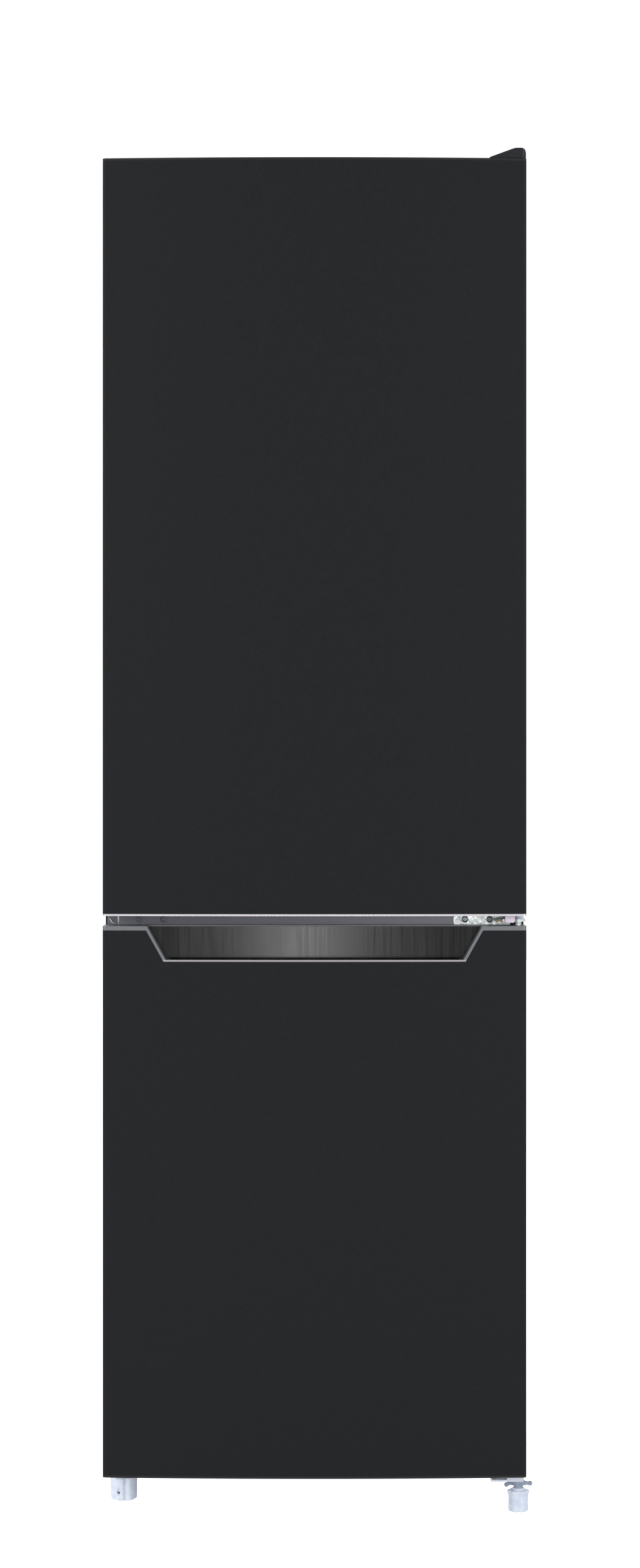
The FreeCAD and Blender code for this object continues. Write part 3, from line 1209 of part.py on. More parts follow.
def compressor_feet():
    """Pressed foot plate under the shell, its corners over the rubber mounts."""
    z = FLOOR_GAP + CROSSBAR_SHEET + MOUNT_HEIGHT
    edge = FOOT_PLATE_EDGE
    plate = around_compressor(MOUNT_HALF_LENGTH + edge, MOUNT_HALF_WIDTH + edge, z, z + FOOT_PLATE)
    riser = around_compressor(40, COMPRESSOR_HALF_WIDTH - COMPRESSOR_DOME, z, COMPRESSOR_Z0 + 2)
    return fuse([corners_cut(plate, edge * 0.7), riser])


def rubber_mounts():
    """Rubber block under each corner of the compressor's foot plate."""
    z = FLOOR_GAP + CROSSBAR_SHEET
    return [many_sided(MOUNT_R, Vec(x, y, z), Z, MOUNT_HEIGHT, 12) for x, y in mount_places()]


def terminal_box():
    """Cover over the start relay on the compressor's left end, below the seam."""
    x0, side = RELAY_X - RELAY_LENGTH, RELAY_WIDTH / 2
    box = block(x0, RELAY_X, COMPRESSOR_Y - side, COMPRESSOR_Y + side, RELAY_Z, RELAY_Z + RELAY_HEIGHT)
    box = rounded(box, 6.0, lambda e: upright(e) and e.Vertexes[0].X < x0 + 1)
    inlet = many_sided(GLAND_R, Vec(x0 - 16, COMPRESSOR_Y, RELAY_Z + 14), X, 30, 12)
    return box.cut([compressor_shell(), inlet])


def cable_gland():
    """Inlet gland for the mains lead, in the terminal box's end."""
    x0, z = RELAY_X - RELAY_LENGTH - 8, RELAY_Z + 14
    body = many_sided(GLAND_R, Vec(x0, COMPRESSOR_Y, z), X, 20, 12)
    collar = many_sided(GLAND_COLLAR_R, Vec(x0 + 2, COMPRESSOR_Y, z), X, 6, 12)
    return fuse([body, collar]).cut(many_sided(LEAD_R, Vec(x0 - 8, COMPRESSOR_Y, z), X, 40, 12))


def evaporation_pan():
    """Tray on top of the compressor that boils off defrost water."""
    z, wall = COMPRESSOR_Z0 + COMPRESSOR_HEIGHT, PAN_WALL
    length, width = COMPRESSOR_HALF_LENGTH - PAN_INSET, COMPRESSOR_HALF_WIDTH - PAN_INSET
    outer = around_compressor(length, width, z, z + PAN_HEIGHT)
    inner = around_compressor(length - wall, width - wall, z + wall, z + PAN_HEIGHT + 1)
    return corners_cut(outer, 9.0).cut(corners_cut(inner, 9.0 - wall * 0.6))


def corners_cut(shape, size):
    return shape.makeChamfer(size, [e for e in shape.Edges if upright(e)])


def condenser_points():
    """Serpentine from the right riser down to the left outlet."""
    y = CONDENSER_Y
    points = []
    for run in range(CONDENSER_RUNS):
        z = CONDENSER_TOP - run * CONDENSER_PITCH
        side = 1 if run % 2 == 0 else -1
        points += [Vec(side * CONDENSER_HALF, y, z), Vec(-side * CONDENSER_HALF, y, z)]
    return points


def condenser_coil():
    """Condenser tube: riser from the compressor, serpentine, outlet down to the drier."""
    riser_x = RISER_X
    start_z = COMPRESSOR_Z0 + 95
    points = condenser_points()
    points[0] = Vec(riser_x, CONDENSER_Y, CONDENSER_TOP)
    points[-1] = Vec(-riser_x, CONDENSER_Y, points[-1].z)
    rise = [Vec(riser_x, COMPRESSOR_Y, start_z), Vec(riser_x, CONDENSER_Y, start_z)]
    drop = [Vec(-riser_x, CONDENSER_Y, DRIER_TOP)]
    lead = [Vec(COMPRESSOR_X + COMPRESSOR_HALF_LENGTH, COMPRESSOR_Y, start_z)]
    return tube(lead + rise + points + drop, CONDENSER_TUBE_R, CONDENSER_BEND)


def filter_drier():
    """Copper drier on the condenser's outlet, necked at both ends."""
    z1 = DRIER_TOP
    z0 = z1 - DRIER_LENGTH
    profile = ((1.6, z0), (2.4, z0 + 8), (8.5, z0 + 20), (8.5, z1 - 20), (3.2, z1 - 8), (3.2, z1))
    centre = Vec(-RISER_X, CONDENSER_Y, 0)
    return stacked([round_ring(radius, centre, z) for radius, z in profile])


def round_ring(radius, centre, z, sides=14):
    angles = [2 * math.pi * i / sides for i in range(sides)]
    return [Vec(centre.x + radius * math.cos(a), centre.y + radius * math.sin(a), z) for a in angles]


def refrigerant_lines():
    """Suction line from the bay's roof to the shell, process stub, and the capillary's first stretch."""
    end_x = COMPRESSOR_X - COMPRESSOR_HALF_LENGTH
    z = COMPRESSOR_Z0 + LINE_HEIGHT
    side_y, out_x = COMPRESSOR_Y + SUCTION_SIDE, end_x - SUCTION_OUT
    suction = tube([
        Vec(end_x + 8, side_y, z), Vec(out_x, side_y, z), Vec(out_x, side_y, BAY_TOP),
    ], SUCTION_R, 16.0)
    side_y, out_x = COMPRESSOR_Y - PROCESS_SIDE, end_x - PROCESS_OUT
    process = tube([
        Vec(end_x + 12, side_y, z - 10), Vec(out_x, side_y, z - 10), Vec(out_x, side_y, z + PROCESS_RISE),
    ], PROCESS_R, 12.0)
    start = Vec(-RISER_X, CONDENSER_Y, DRIER_TOP - DRIER_LENGTH)
    dip, inwards = Vec(0, 0, -CAPILLARY_DIP), Vec(CAPILLARY_IN, -CAPILLARY_IN, 0)
    end = start + inwards
    end.z = BAY_TOP
    capillary = tube([start, start + dip, start + dip + inwards, end], CAPILLARY_R, 12.0)
    shell = compressor_shell()
    return [suction.cut(shell), process.cut(shell), capillary]


def condenser_wires():
    """Upright wires on both faces of the serpentine."""
    bottom = CONDENSER_TOP - (CONDENSER_RUNS - 1) * CONDENSER_PITCH - WIRE_OVERHANG
    length = CONDENSER_TOP + WIRE_OVERHANG - bottom
    half = CONDENSER_HALF - WIRE_INSET
    step = 2 * half / (WIRES_PER_SIDE - 1)
    reach = CONDENSER_TUBE_R + CONDENSER_WIRE_R
    return [
        many_sided(CONDENSER_WIRE_R, Vec(-half + i * step, CONDENSER_Y + side * reach, bottom), Z, length)
        for side in (-1, 1) for i in range(WIRES_PER_SIDE)
    ]


def condenser_brackets():
    """Moulded stand-offs that grip the coil's runs near its four corners."""
    brackets = []
    for run in (1, CONDENSER_RUNS - 2):
        z = CONDENSER_TOP - run * CONDENSER_PITCH
        x0, x1 = CONDENSER_HALF - 34, CONDENSER_HALF - 21
        tip = CONDENSER_Y + CONDENSER_TUBE_R + 3
        arm = prism_along_x([
            (CABINET_DEPTH, z - 7), (tip - 3, z - 7), (tip, z - 4),
            (tip, z + 4), (tip - 3, z + 7), (CABINET_DEPTH, z + 7),
        ], x0, x1)
        grip = many_sided(CONDENSER_TUBE_R + FIT, Vec(x0 - 1, CONDENSER_Y, z), X, x1 - x0 + 2, 12)
        brackets += both_sides(arm.cut(grip))
    return brackets


def wall_spacers():
    """Two hollow spacers that keep the cabinet's back off the wall."""
    z, side = CONDENSER_TOP + SPACER_ABOVE, SPACER_SIZE / 2
    x0, x1, bore, corner = SPACER_X - side, SPACER_X + side, side - SPACER_WALL, 4.0
    body = prism_along_y([
        (x0 + corner, z - side), (x1 - corner, z - side), (x1, z - side + corner), (x1, z + side - corner),
        (x1 - corner, z + side), (x0 + corner, z + side), (x0, z + side - corner), (x0, z - side + corner),
    ], CABINET_DEPTH, WALL_Y)
    y0, y1 = CABINET_DEPTH - 1, WALL_Y - SPACER_WALL
    hollow = block(SPACER_X - bore, SPACER_X + bore, y0, y1, z - bore, z + bore)
    return both_sides(body.cut(hollow))


# ---- Assembly ----
def build_cabinet():
    panel = side_panel()
    save("right_side_panel", panel)
    save("left_side_panel", mirrored(panel))
    save("top_panel", top_panel())
    save("back_panel", back_panel())
    save("bottom_pan", bottom_pan())
    save("base_crossmember", base_crossmember())
    save("rear_crossbar", rear_crossbar())
    save("roller_axles", *both_sides(roller_axle()))
    save("cabinet_foam", cabinet_foam())
    save("fridge_liner", fridge_liner())
    save("freezer_liner", freezer_liner())
    save("evaporator_plate", evaporator_plate())
    save("middle_beam", middle_beam())
    save("beam_cover", beam_cover())
    save("left_bracket", left_bracket())


def build_hinges():
    save("middle_hinge", middle_hinge())
    save("hinge_sleeve", hinge_sleeve())
    save("top_hinge", top_hinge())
    save("top_hinge_cover", top_hinge_cover())
    save("bottom_hinge", bottom_hinge())
    save("fasteners", *beam_screws(), *hinge_bolts())


def build_feet():
    wheel = roller()
    save("right_roller", wheel)
    save("left_roller", mirrored(wheel))
    save("right_foot", right_foot())
    save("wing_nut", wing_nut())
    save("left_foot", left_foot())


def build_interior():
    levels = SHELF_HEIGHTS + (CRISPER_TOP,)
    save("glass_shelves", *[shelf(z) for z in levels])
    save("shelf_trims", *[shelf_trim(z, SHELF_FRONT) for z in levels])
    save("crisper_drawer", crisper_drawer())
    save("freezer_drawers", *freezer_drawers())
    save("freezer_shelves", *[freezer_shelf(z) for z in FREEZER_SHELVES])
    save("control_housing", control_housing())
    save("lamp_cover", lamp_cover())
    save("thermostat_knob", thermostat_knob())


def build_upper_door():
    bottom, top = upper_bottom_cap(), upper_top_cap()
    skin_z0, skin_z1 = UPPER_Z0 + SILVER_EDGE, UPPER_Z1 - CAP_EDGE
    seats = [bush_seat(UPPER_Z0, True), bush_seat(UPPER_Z1, False), groove_space()]
    save("upper_door_skin", door_skin(skin_z0, skin_z1))
    removed = [bottom, top] + seats
    place = (FRIDGE_DYKE_HALF, UPPER_Z0, UPPER_Z1, skin_z0, skin_z1, FRIDGE_DYKE)
    save("upper_door_foam", door_foam(*place, removed))
    filled = dyke(FRIDGE_DYKE_HALF, UPPER_Z0, UPPER_Z1, FRIDGE_DYKE, 0.0)
    save("upper_door_liner", fuse([door_liner(*place)] + bin_lugs()).cut(filled))
    save("upper_door_gasket", gasket(UPPER_Z0, UPPER_Z1))
    save("upper_door_bottom_cap", bottom)
    save("upper_door_top_cap", top)
    save("upper_door_bushes", bush(UPPER_Z0, True), bush(UPPER_Z1, False))
    save("door_stop", door_stop())
    save("door_bins", *[door_bin(z, BIN_HEIGHT) for z in BIN_FLOORS])
    save("egg_tray", egg_tray())


def build_lower_door():
    bottom, moulding = lower_bottom_cap(), grip_moulding()
    skin_z0, skin_z1 = LOWER_Z0 + CAP_EDGE, LOWER_Z1 - SHOULDER
    bush_z = PIVOT_TOP + FIT
    seats = [bush_seat(bush_z, True), bush_seat(LOWER_Z1, False), grip_body(), pivot_recess()]
    skin = door_skin(skin_z0, skin_z1).cut(notch(DOOR_NOSE - 5, DOOR_EDGE + 12))
    save("lower_door_skin", skin)
    removed = [bottom, moulding] + seats
    place = (FREEZER_DYKE_HALF, LOWER_Z0, LOWER_Z1, skin_z0, skin_z1, FREEZER_DYKE)
    save("lower_door_foam", door_foam(*place, removed))
    filled = dyke(FREEZER_DYKE_HALF, LOWER_Z0, LOWER_Z1, FREEZER_DYKE, 0.0)
    save("lower_door_liner", door_liner(*place).cut(filled))
    save("lower_door_gasket", gasket(LOWER_Z0, LOWER_Z1))
    save("lower_door_bottom_cap", bottom)
    save("grip_moulding", moulding)
    save("grip_plate", grip_plate())
    save("lower_door_bushes", bush(bush_z, True), bush(LOWER_Z1, False))


def build_machinery():
    save("compressor", compressor())
    save("compressor_grommets", *rubber_mounts())
    save("terminal_box", terminal_box(), cable_gland())
    save("evaporation_pan", evaporation_pan())
    save("condenser_coil", condenser_coil())
    save("condenser_wires", *condenser_wires())
    save("rear_spacers", *condenser_brackets(), *wall_spacers())
    save("refrigerant_lines", *refrigerant_lines(), filter_drier())


os.makedirs("parts", exist_ok=True)
build_cabinet()
build_hinges()
build_feet()
build_interior()
build_upper_door()
build_lower_door()
build_machinery()
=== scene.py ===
# %% [markdown]
# # A slim fridge-freezer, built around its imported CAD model
# The CAD model already holds every solid piece at its real size. This script loads it as a fixed frame,
# lights it like a product shot, gives each piece the finish of its real material, and adds the small
# things a designer leaves to the looks: threads, rivets, a bulb, numerals on the dial.

import json
import math

import bmesh
import bpy
from mathutils import Matrix, Vector

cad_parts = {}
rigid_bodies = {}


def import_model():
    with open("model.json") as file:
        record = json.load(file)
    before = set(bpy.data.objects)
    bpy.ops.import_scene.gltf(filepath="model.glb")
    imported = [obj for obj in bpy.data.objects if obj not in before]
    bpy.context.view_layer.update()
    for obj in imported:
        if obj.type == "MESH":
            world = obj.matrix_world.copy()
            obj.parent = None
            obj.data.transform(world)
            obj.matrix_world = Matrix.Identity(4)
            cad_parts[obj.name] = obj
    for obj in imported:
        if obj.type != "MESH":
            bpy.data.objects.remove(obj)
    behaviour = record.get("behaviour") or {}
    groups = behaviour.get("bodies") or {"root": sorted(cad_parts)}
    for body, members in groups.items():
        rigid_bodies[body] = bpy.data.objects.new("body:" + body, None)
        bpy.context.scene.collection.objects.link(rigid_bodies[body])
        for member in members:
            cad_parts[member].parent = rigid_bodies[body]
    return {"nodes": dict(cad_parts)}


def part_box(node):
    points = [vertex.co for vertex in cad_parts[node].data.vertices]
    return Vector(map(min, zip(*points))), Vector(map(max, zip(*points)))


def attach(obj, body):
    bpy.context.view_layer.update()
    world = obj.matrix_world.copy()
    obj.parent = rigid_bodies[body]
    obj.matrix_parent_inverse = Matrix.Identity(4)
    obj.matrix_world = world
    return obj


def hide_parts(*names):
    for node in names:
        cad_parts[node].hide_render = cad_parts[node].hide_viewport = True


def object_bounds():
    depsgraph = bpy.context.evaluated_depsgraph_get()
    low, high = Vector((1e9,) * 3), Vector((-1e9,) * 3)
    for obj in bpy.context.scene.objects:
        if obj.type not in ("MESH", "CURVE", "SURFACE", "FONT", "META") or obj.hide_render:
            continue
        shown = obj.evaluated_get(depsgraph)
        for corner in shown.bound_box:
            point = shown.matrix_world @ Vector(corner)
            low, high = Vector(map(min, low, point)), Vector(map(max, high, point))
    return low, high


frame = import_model()
cad_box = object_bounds()
MM = 0.001
print("nodes loaded:", len(frame["nodes"]))

# %% [markdown]
# New pieces sit against CAD pieces, so their places are read from the model and not typed in twice.
# Blender counts in metres, but such parts are drawn in millimetres.

# %% Measure a CAD node
def box_mm(node):
    """Lowest corner, middle and highest corner of a CAD node at rest, in millimetres."""
    low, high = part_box(node)
    return [[round(value / MM, 3) for value in corner] for corner in (low, (low + high) / 2, high)]


print("strip between the doors:", *box_mm("beam_cover"))

# %% [markdown]
# ## Colours and shader nodes
# Colours are picked as sRGB hex codes, the way a paint chip or a screen shows them. Cycles calculates in
# linear light, so one function converts them. A second adds one shader node with its settings, values
# and links, and a third starts a material from the Principled shader, whose sockets hold what the real
# stuff is. Its index of refraction stays at 1.5, as in most paints and plastics, unless a finish says else.

# %% Helpers for colours, nodes and materials
def linear(hex_code):
    """sRGB hex code to a linear RGBA colour."""
    channels = []
    for start in (0, 2, 4):
        value = int(hex_code[start:start + 2], 16) / 255
        channels.append(value / 12.92 if value <= 0.04045 else ((value + 0.055) / 1.055) ** 2.4)
    return (*channels, 1.0)


def add_node(tree, kind, values=None, links=None, **settings):
    """Add one node; values are {socket: value}, links are {socket: (node, its output)}."""
    node = tree.nodes.new(kind)
    for name, value in settings.items():
        setattr(node, name, value)
    for socket, value in (values or {}).items():
        node.inputs[socket].default_value = value
    for socket, (source, output) in (links or {}).items():
        tree.links.new(source.outputs[output], node.inputs[socket])
    return node


def start_finish(name, hex_code, values=None):
    """New material from one Principled shader; returns the material, its tree, shader and coordinates."""
    material = bpy.data.materials.new(name)
    material.use_nodes = True
    tree = material.node_tree
    shader = tree.nodes["Principled BSDF"]
    shader.inputs["Base Color"].default_value = linear(hex_code)
    for socket, value in (values or {}).items():
        shader.inputs[socket].default_value = value
    place = add_node(tree, "ShaderNodeTexCoord")
    return material, tree, shader, place


print("a mid grey, 808080, is", round(linear("808080")[0], 3), "in linear light")

# %% [markdown]
# Real surfaces are never perfectly even. Paint dries with a faint orange peel, rolled steel keeps the
# marks of its rolls, and moulded plastic copies a spark-eroded tool. One function gives a finish such a
# relief: noise with blotches of a size given in millimetres lifts the surface by a given height and
# makes the gloss wander between two values. Noise that is stretched one way looks brushed or rolled. A
# second function lets the colour wander too.

# %% Relief, tone, and a finish made of both
NOISE_LOW, NOISE_HIGH = 0.3, 0.7   # nearly all of the noise lies between these


def add_relief(tree, shader, place, grain_mm, height_mm, gloss, stretch=(1, 1, 1)):
    """Noise grain_mm across: a bump height_mm high, and roughness between the two gloss values."""
    scaled = add_node(tree, "ShaderNodeMapping", {"Scale": stretch}, {"Vector": (place, "Object")})
    noise = add_node(tree, "ShaderNodeTexNoise", {"Scale": 1000 / grain_mm}, {"Vector": (scaled, "Vector")})
    bump = add_node(tree, "ShaderNodeBump", {"Distance": height_mm * MM}, {"Height": (noise, "Fac")})
    tree.links.new(bump.outputs["Normal"], shader.inputs["Normal"])
    shader.inputs["Roughness"].default_value = gloss[0]
    if gloss[1] > gloss[0]:
        span = {"From Min": NOISE_LOW, "From Max": NOISE_HIGH, "To Min": gloss[0], "To Max": gloss[1]}
        rough = add_node(tree, "ShaderNodeMapRange", span, {"Value": (noise, "Fac")})
        tree.links.new(rough.outputs["Result"], shader.inputs["Roughness"])
    return noise


def add_tone(tree, shader, source, output, dark, light, low=NOISE_LOW, high=NOISE_HIGH):
    """Colour the shader from dark to light as the source value goes from low to high."""
    ramp = add_node(tree, "ShaderNodeValToRGB", links={"Fac": (source, output)})
    for element, position, code in zip(ramp.color_ramp.elements, (low, high), (dark, light)):
        element.position = position
        element.color = linear(code)
    tree.links.new(ramp.outputs["Color"], shader.inputs["Base Color"])


def grained_finish(name, dark, light, grain_mm, height_mm, gloss, values=None, stretch=(1, 1, 1)):
    """Material whose relief, gloss and colour follow one noise."""
    material, tree, shader, place = start_finish(name, dark, values)
    noise = add_relief(tree, shader, place, grain_mm, height_mm, gloss, stretch)
    add_tone(tree, shader, noise, "Fac", dark, light)
    return material


print("noise counts from", NOISE_LOW, "to", NOISE_HIGH)

# %% [markdown]
# ## Camera and studio
# A tall appliance looks right from a distance through a long lens, level and at mid height, so that its
# edges stay parallel. The camera stands 3.9 m in front of the doors.

# %% Camera
CAMERA_X, CAMERA_HEIGHT, CAMERA_DISTANCE = 0.007, 0.9407, 3.892   # metres; the distance is to the doors
lens = bpy.data.cameras.new("studio_camera")
lens.lens = 69.65
lens.sensor_width = 36.0
camera = bpy.data.objects.new("studio_camera", lens)
bpy.context.scene.collection.objects.link(camera)
camera.location = (CAMERA_X, cad_box[0][1] - CAMERA_DISTANCE, CAMERA_HEIGHT)
camera.rotation_euler = (math.radians(90), 0, 0)
bpy.context.scene.camera = camera
bpy.context.scene.view_settings.view_transform = "Standard"
print("camera at", [round(value, 4) for value in camera.location], "lens", round(lens.lens, 2), "mm")

# %% [markdown]
# Two large soft boxes give even light from the left and the right, a third lights the back, and a narrow
# strip beside the camera draws the bright band in the brushed grip. Two small lamps reach into the gap
# between the doors and under the left corner. Point lamps would draw hard shadows; area lamps don't.

# %% Soft boxes and small lamps
def soft_box(name, place, target, size, watts):
    """Area lamp of some width and height that shines from its place at a target, in metres."""
    lamp = bpy.data.lights.new(name, "AREA")
    lamp.shape = "RECTANGLE"
    lamp.size, lamp.size_y = size
    lamp.energy = watts
    box = bpy.data.objects.new(name, lamp)
    box.location = place
    box.rotation_euler = (Vector(target) - Vector(place)).to_track_quat("-Z", "Y").to_euler()
    box.visible_camera = False
    bpy.context.scene.collection.objects.link(box)
    return box


LAMPS = {   # name: place, target, width and height, watts
    "left_soft_box": ((-2.6, -3.6, 2.3), (0, 0, 0.9), (1.8, 2.6), 75),
    "right_soft_box": ((2.6, -3.6, 1.9), (0, 0, 0.9), (1.8, 2.6), 60),
    "rear_soft_box": ((-1.6, 3.2, 2.6), (0, 0, 1.0), (2.0, 2.0), 45),
    "grip_strip": ((-0.04, -4.32, 0.6), (-0.04, 0, 0.7), (0.06, 0.7), 8.2),
    "foot_light": ((-0.7, -2.4, 0.12), (-0.25, -0.2, 0.015), (0.4, 0.2), 9.0),
    "gap_light": ((0.3, -0.95, 0.775), (0.05, -0.23, 0.765), (0.2, 0.12), 1.45),
}
lamps = {name: soft_box(name, *facts) for name, facts in LAMPS.items()}
print("lamps:", ", ".join(lamps))

# %% [markdown]
# Cameras, mirrors and glass see a white surround, while its light on matt surfaces is kept lower, so that
# white plastic keeps its shading. The floor does the same. Both ask which kind of ray has met them.

# %% White surround
def rays_that_see(tree):
    """1 for a ray of the camera, off gloss or through glass, 0 for light on a matt surface."""
    ray = add_node(tree, "ShaderNodeLightPath")
    seen = (ray, "Is Camera Ray")
    for kind in ("Is Glossy Ray", "Is Transmission Ray"):
        larger = add_node(tree, "ShaderNodeMath", links={0: seen, 1: (ray, kind)}, operation="MAXIMUM")
        seen = (larger, "Value")
    return seen


SURROUND_LIGHT = 0.55   # strength on matt surfaces; what is seen of the surround has strength 1
world = bpy.data.worlds.new("studio")
bpy.context.scene.world = world
world.use_nodes = True
tree = world.node_tree
tree.nodes.clear()
dim = add_node(tree, "ShaderNodeBackground", {"Color": linear("f2f6ff"), "Strength": SURROUND_LIGHT})
white = add_node(tree, "ShaderNodeBackground", {"Color": (1, 1, 1, 1), "Strength": 1.0})
parts = {0: rays_that_see(tree), 1: (dim, "Background"), 2: (white, "Background")}
surround = add_node(tree, "ShaderNodeMixShader", links=parts)
add_node(tree, "ShaderNodeOutputWorld", links={"Surface": (surround, "Shader")})
print("nodes of the surround:", len(tree.nodes))

# %% White floor
FLOOR_REACH = 12.0   # metres from the middle to each side
bm = bmesh.new()
bmesh.ops.create_grid(bm, x_segments=1, y_segments=1, size=FLOOR_REACH)
floor_mesh = bpy.data.meshes.new("floor")
bm.to_mesh(floor_mesh)
bm.free()
floor = bpy.data.objects.new("floor", floor_mesh)
bpy.context.scene.collection.objects.link(floor)
matt_white = {"Roughness": 0.9, "Specular IOR Level": 0.0, "Emission Color": (1, 1, 1, 1)}
material, tree, shader, place = start_finish("matt_studio_floor", "f4f4f4", matt_white)
seen, output = rays_that_see(tree)
tree.links.new(seen.outputs[output], shader.inputs["Emission Strength"])
floor_mesh.materials.append(material)
print("floor, metres across:", 2 * FLOOR_REACH)

# %% [markdown]
# ## Painted steel
# The doors, sides and top are steel sheet, coil-coated in graphite before it is bent. A sprayed coat would
# be thicker and glossier; this one is thin, even and satin.

# %% Coil-coated steel
PAINT = {"Specular IOR Level": 0.1}
# Doors: satin graphite that hides reflections and shows only a faint orange peel.
door_coat = grained_finish("coil_coated_door_steel", "17181a", "1b1c1e", 3.5, 0.01, (0.46, 0.54), PAINT)
# Sides and top: the same coat, darker and a little duller.
side_coat = grained_finish("coil_coated_cabinet_steel", "141517", "17181a", 3.5, 0.01, (0.50, 0.58), PAINT)
print("painted steel:", door_coat.name, side_coat.name)

# %% [markdown]
# ## Bare and plated steel
# Hidden plates are hot-dip galvanised: zinc freezes into crystals, the spangle, a centimetre or so
# across and each with its own grey. Voronoi cells have just that look. The hinge plates are zinc
# plated, brighter and with finer crystals.

# %% Galvanised and plated steel
def spangled_steel(name, dark, light, crystal_mm, metallic):
    """Zinc on steel: crystals of some size, each with its own grey between dark and light."""
    material, tree, shader, place = start_finish(name, dark, {"Metallic": metallic})
    size = {"Scale": 1000 / crystal_mm}
    crystals = add_node(tree, "ShaderNodeTexVoronoi", size, {"Vector": (place, "Object")})
    add_relief(tree, shader, place, 2.5, 0.01, (0.32, 0.5))
    grey = add_node(tree, "ShaderNodeSeparateColor", links={"Color": (crystals, "Color")})
    add_tone(tree, shader, grey, "Red", dark, light, 0.1, 0.9)
    return material


# Hidden plates: pale, with crystals that show.
galvanised = spangled_steel("hot_dip_galvanised_steel", "b3b7ba", "c3c7c9", 9, 0.75)
# Middle hinge: a lively grey that changes over a few millimetres.
plated = spangled_steel("zinc_plated_hinge_steel", "9ba1a2", "d6dad7", 5, 0.35)
# Bottom bracket: nearly white, with a cool cast.
foot_bracket = spangled_steel("bright_zinc_plated_steel", "c4c9d6", "d2d6e0", 4, 0.2)
# Bolts and screws: clean metal, darker where it mirrors the dark doors.
bolt_steel = spangled_steel("blue_zinc_plated_steel", "8f959c", "b4bac1", 1.5, 0.9)
print("zinc finishes:", [finish.name for finish in (galvanised, plated, foot_bracket, bolt_steel)])

# %% [markdown]
# The strip that covers the beam between the compartments is vinyl-coated steel, and rolling leaves fine
# lines along it. The grip plate is dark stainless steel, brushed upwards. Anisotropy would only smear the
# light across such lines; noise stretched forty to fifty times along them shows in close views too.

# %% Rolled strip and brushed grip plate
# Vinyl coat: mid grey and satin, with lines along X.
beam_strip = grained_finish(
    "vinyl_coated_steel", "7a7982", "85848d", 1.2, 0.01, (0.35, 0.5), {"Specular IOR Level": 0.3},
    stretch=(0.025, 1, 1),
)
# Brushed stainless: a dark mirror, with lines along Z that draw a highlight out sideways.
grip_steel = grained_finish(
    "brushed_dark_stainless", "202020", "252525", 1.6, 0.002, (0.13, 0.19), {"Metallic": 1.0},
    stretch=(1, 1, 0.02),
)
print("lined finishes:", beam_strip.name, grip_steel.name)

# %% [markdown]
# ## Plastics
# Trims are ABS with a metal lacquer, end caps and covers are black and textured by their moulds, and the
# inner shells are white polystyrene drawn over a tool. Each has its own gloss and its own grain.

# %% Lacquered trims
FLAKES = {"Metallic": 0.4}
LACQUER = ("646668", "6a6c6e", 1.5, 0.001, (0.3, 0.4), FLAKES)
# Lacquered ABS: tiny flakes give a soft grey sheen, darker than bare metal.
lacquered_trim = grained_finish("metal_lacquered_abs", *LACQUER)
# Bright lacquer: pale and smooth, so it catches the light in the gap. On the strip's folded end it is a
# painted highlight.
bright_trim = grained_finish("bright_lacquered_abs", "c4bfc1", "c9c4c6", 1.5, 0.0006, (0.24, 0.3), FLAKES)
# The grip's moulding: the first lacquer again, which gets a painted highlight along its lower edge below.
grip_trim = grained_finish("lacquered_abs_with_painted_highlight", *LACQUER)
# Extruded PVC on the shelves' edges: satin silver.
silver = {"Metallic": 0.3}
shelf_edge = grained_finish("extruded_silver_pvc", "b9bcbf", "c0c3c6", 1.0, 0.002, (0.3, 0.36), silver)
print("trims:", [finish.name for finish in (lacquered_trim, bright_trim, grip_trim, shelf_edge)])

# %% Moulded plastics and rubber
DULL, WAXY = {"Specular IOR Level": 0.25}, {"Specular IOR Level": 0.3}
# Black polypropylene: the mould's fine texture scatters most of its gloss.
black_cap = grained_finish("moulded_black_polypropylene", "0b0c0e", "101114", 1.2, 0.02, (0.4, 0.55), DULL)
# Black ABS: a touch bluer and smoother than the caps.
hinge_cover = grained_finish("moulded_black_abs", "0d0f15", "11141b", 1.2, 0.01, (0.34, 0.44), DULL)
# Drawn polystyrene: clean white gloss, with the slow waves of a stretched sheet.
liner_white = grained_finish("vacuum_formed_polystyrene", "e9ebea", "ebedec", 45.0, 0.004, (0.28, 0.28))
# Glass-filled nylon: grey, with the clouded skin that the fibres give it.
grey_nylon = grained_finish("moulded_glass_filled_nylon", "8e99aa", "a4aebd", 6.0, 0.05, (0.4, 0.5))
# The door stop's nylon: a pale pink block with an even skin.
pink_nylon = grained_finish(
    "moulded_pink_nylon", "d8cbd8", "e0d5e0", 1.5, 0.004, (0.4, 0.4), {"Specular IOR Level": 0.4}
)
# White ABS: hard, smooth and slightly cool.
knob_white = grained_finish("moulded_white_abs", "e0e2e2", "e4e6e6", 1.2, 0.004, (0.34, 0.34))
# Recycled polypropylene: a rough, patchy near-black.
spacer_black = grained_finish("moulded_recycled_polypropylene", "191a1c", "222325", 1.5, 0.03, (0.55, 0.7))
# Soft PVC: mid grey and waxy, without a clear highlight.
seal_grey = grained_finish("extruded_soft_pvc", "77797c", "828487", 2.0, 0.01, (0.45, 0.6), WAXY)
# Nitrile rubber: matt, with the bloom that rubber gets.
rubber_black = grained_finish("moulded_nitrile_rubber", "141414", "1e1e1e", 1.5, 0.03, (0.65, 0.85), WAXY)
print("materials so far:", len(bpy.data.materials))

# %% [markdown]
# The feet and bushes are natural nylon, milky and a little translucent. Light that enters comes out again
# a few millimetres away, as subsurface scattering does; plain white would look like chalk.

# %% Natural nylon
milky = {"Subsurface Weight": 0.25, "Subsurface Scale": 4 * MM, "Subsurface Radius": (1.0, 1.0, 1.0)}
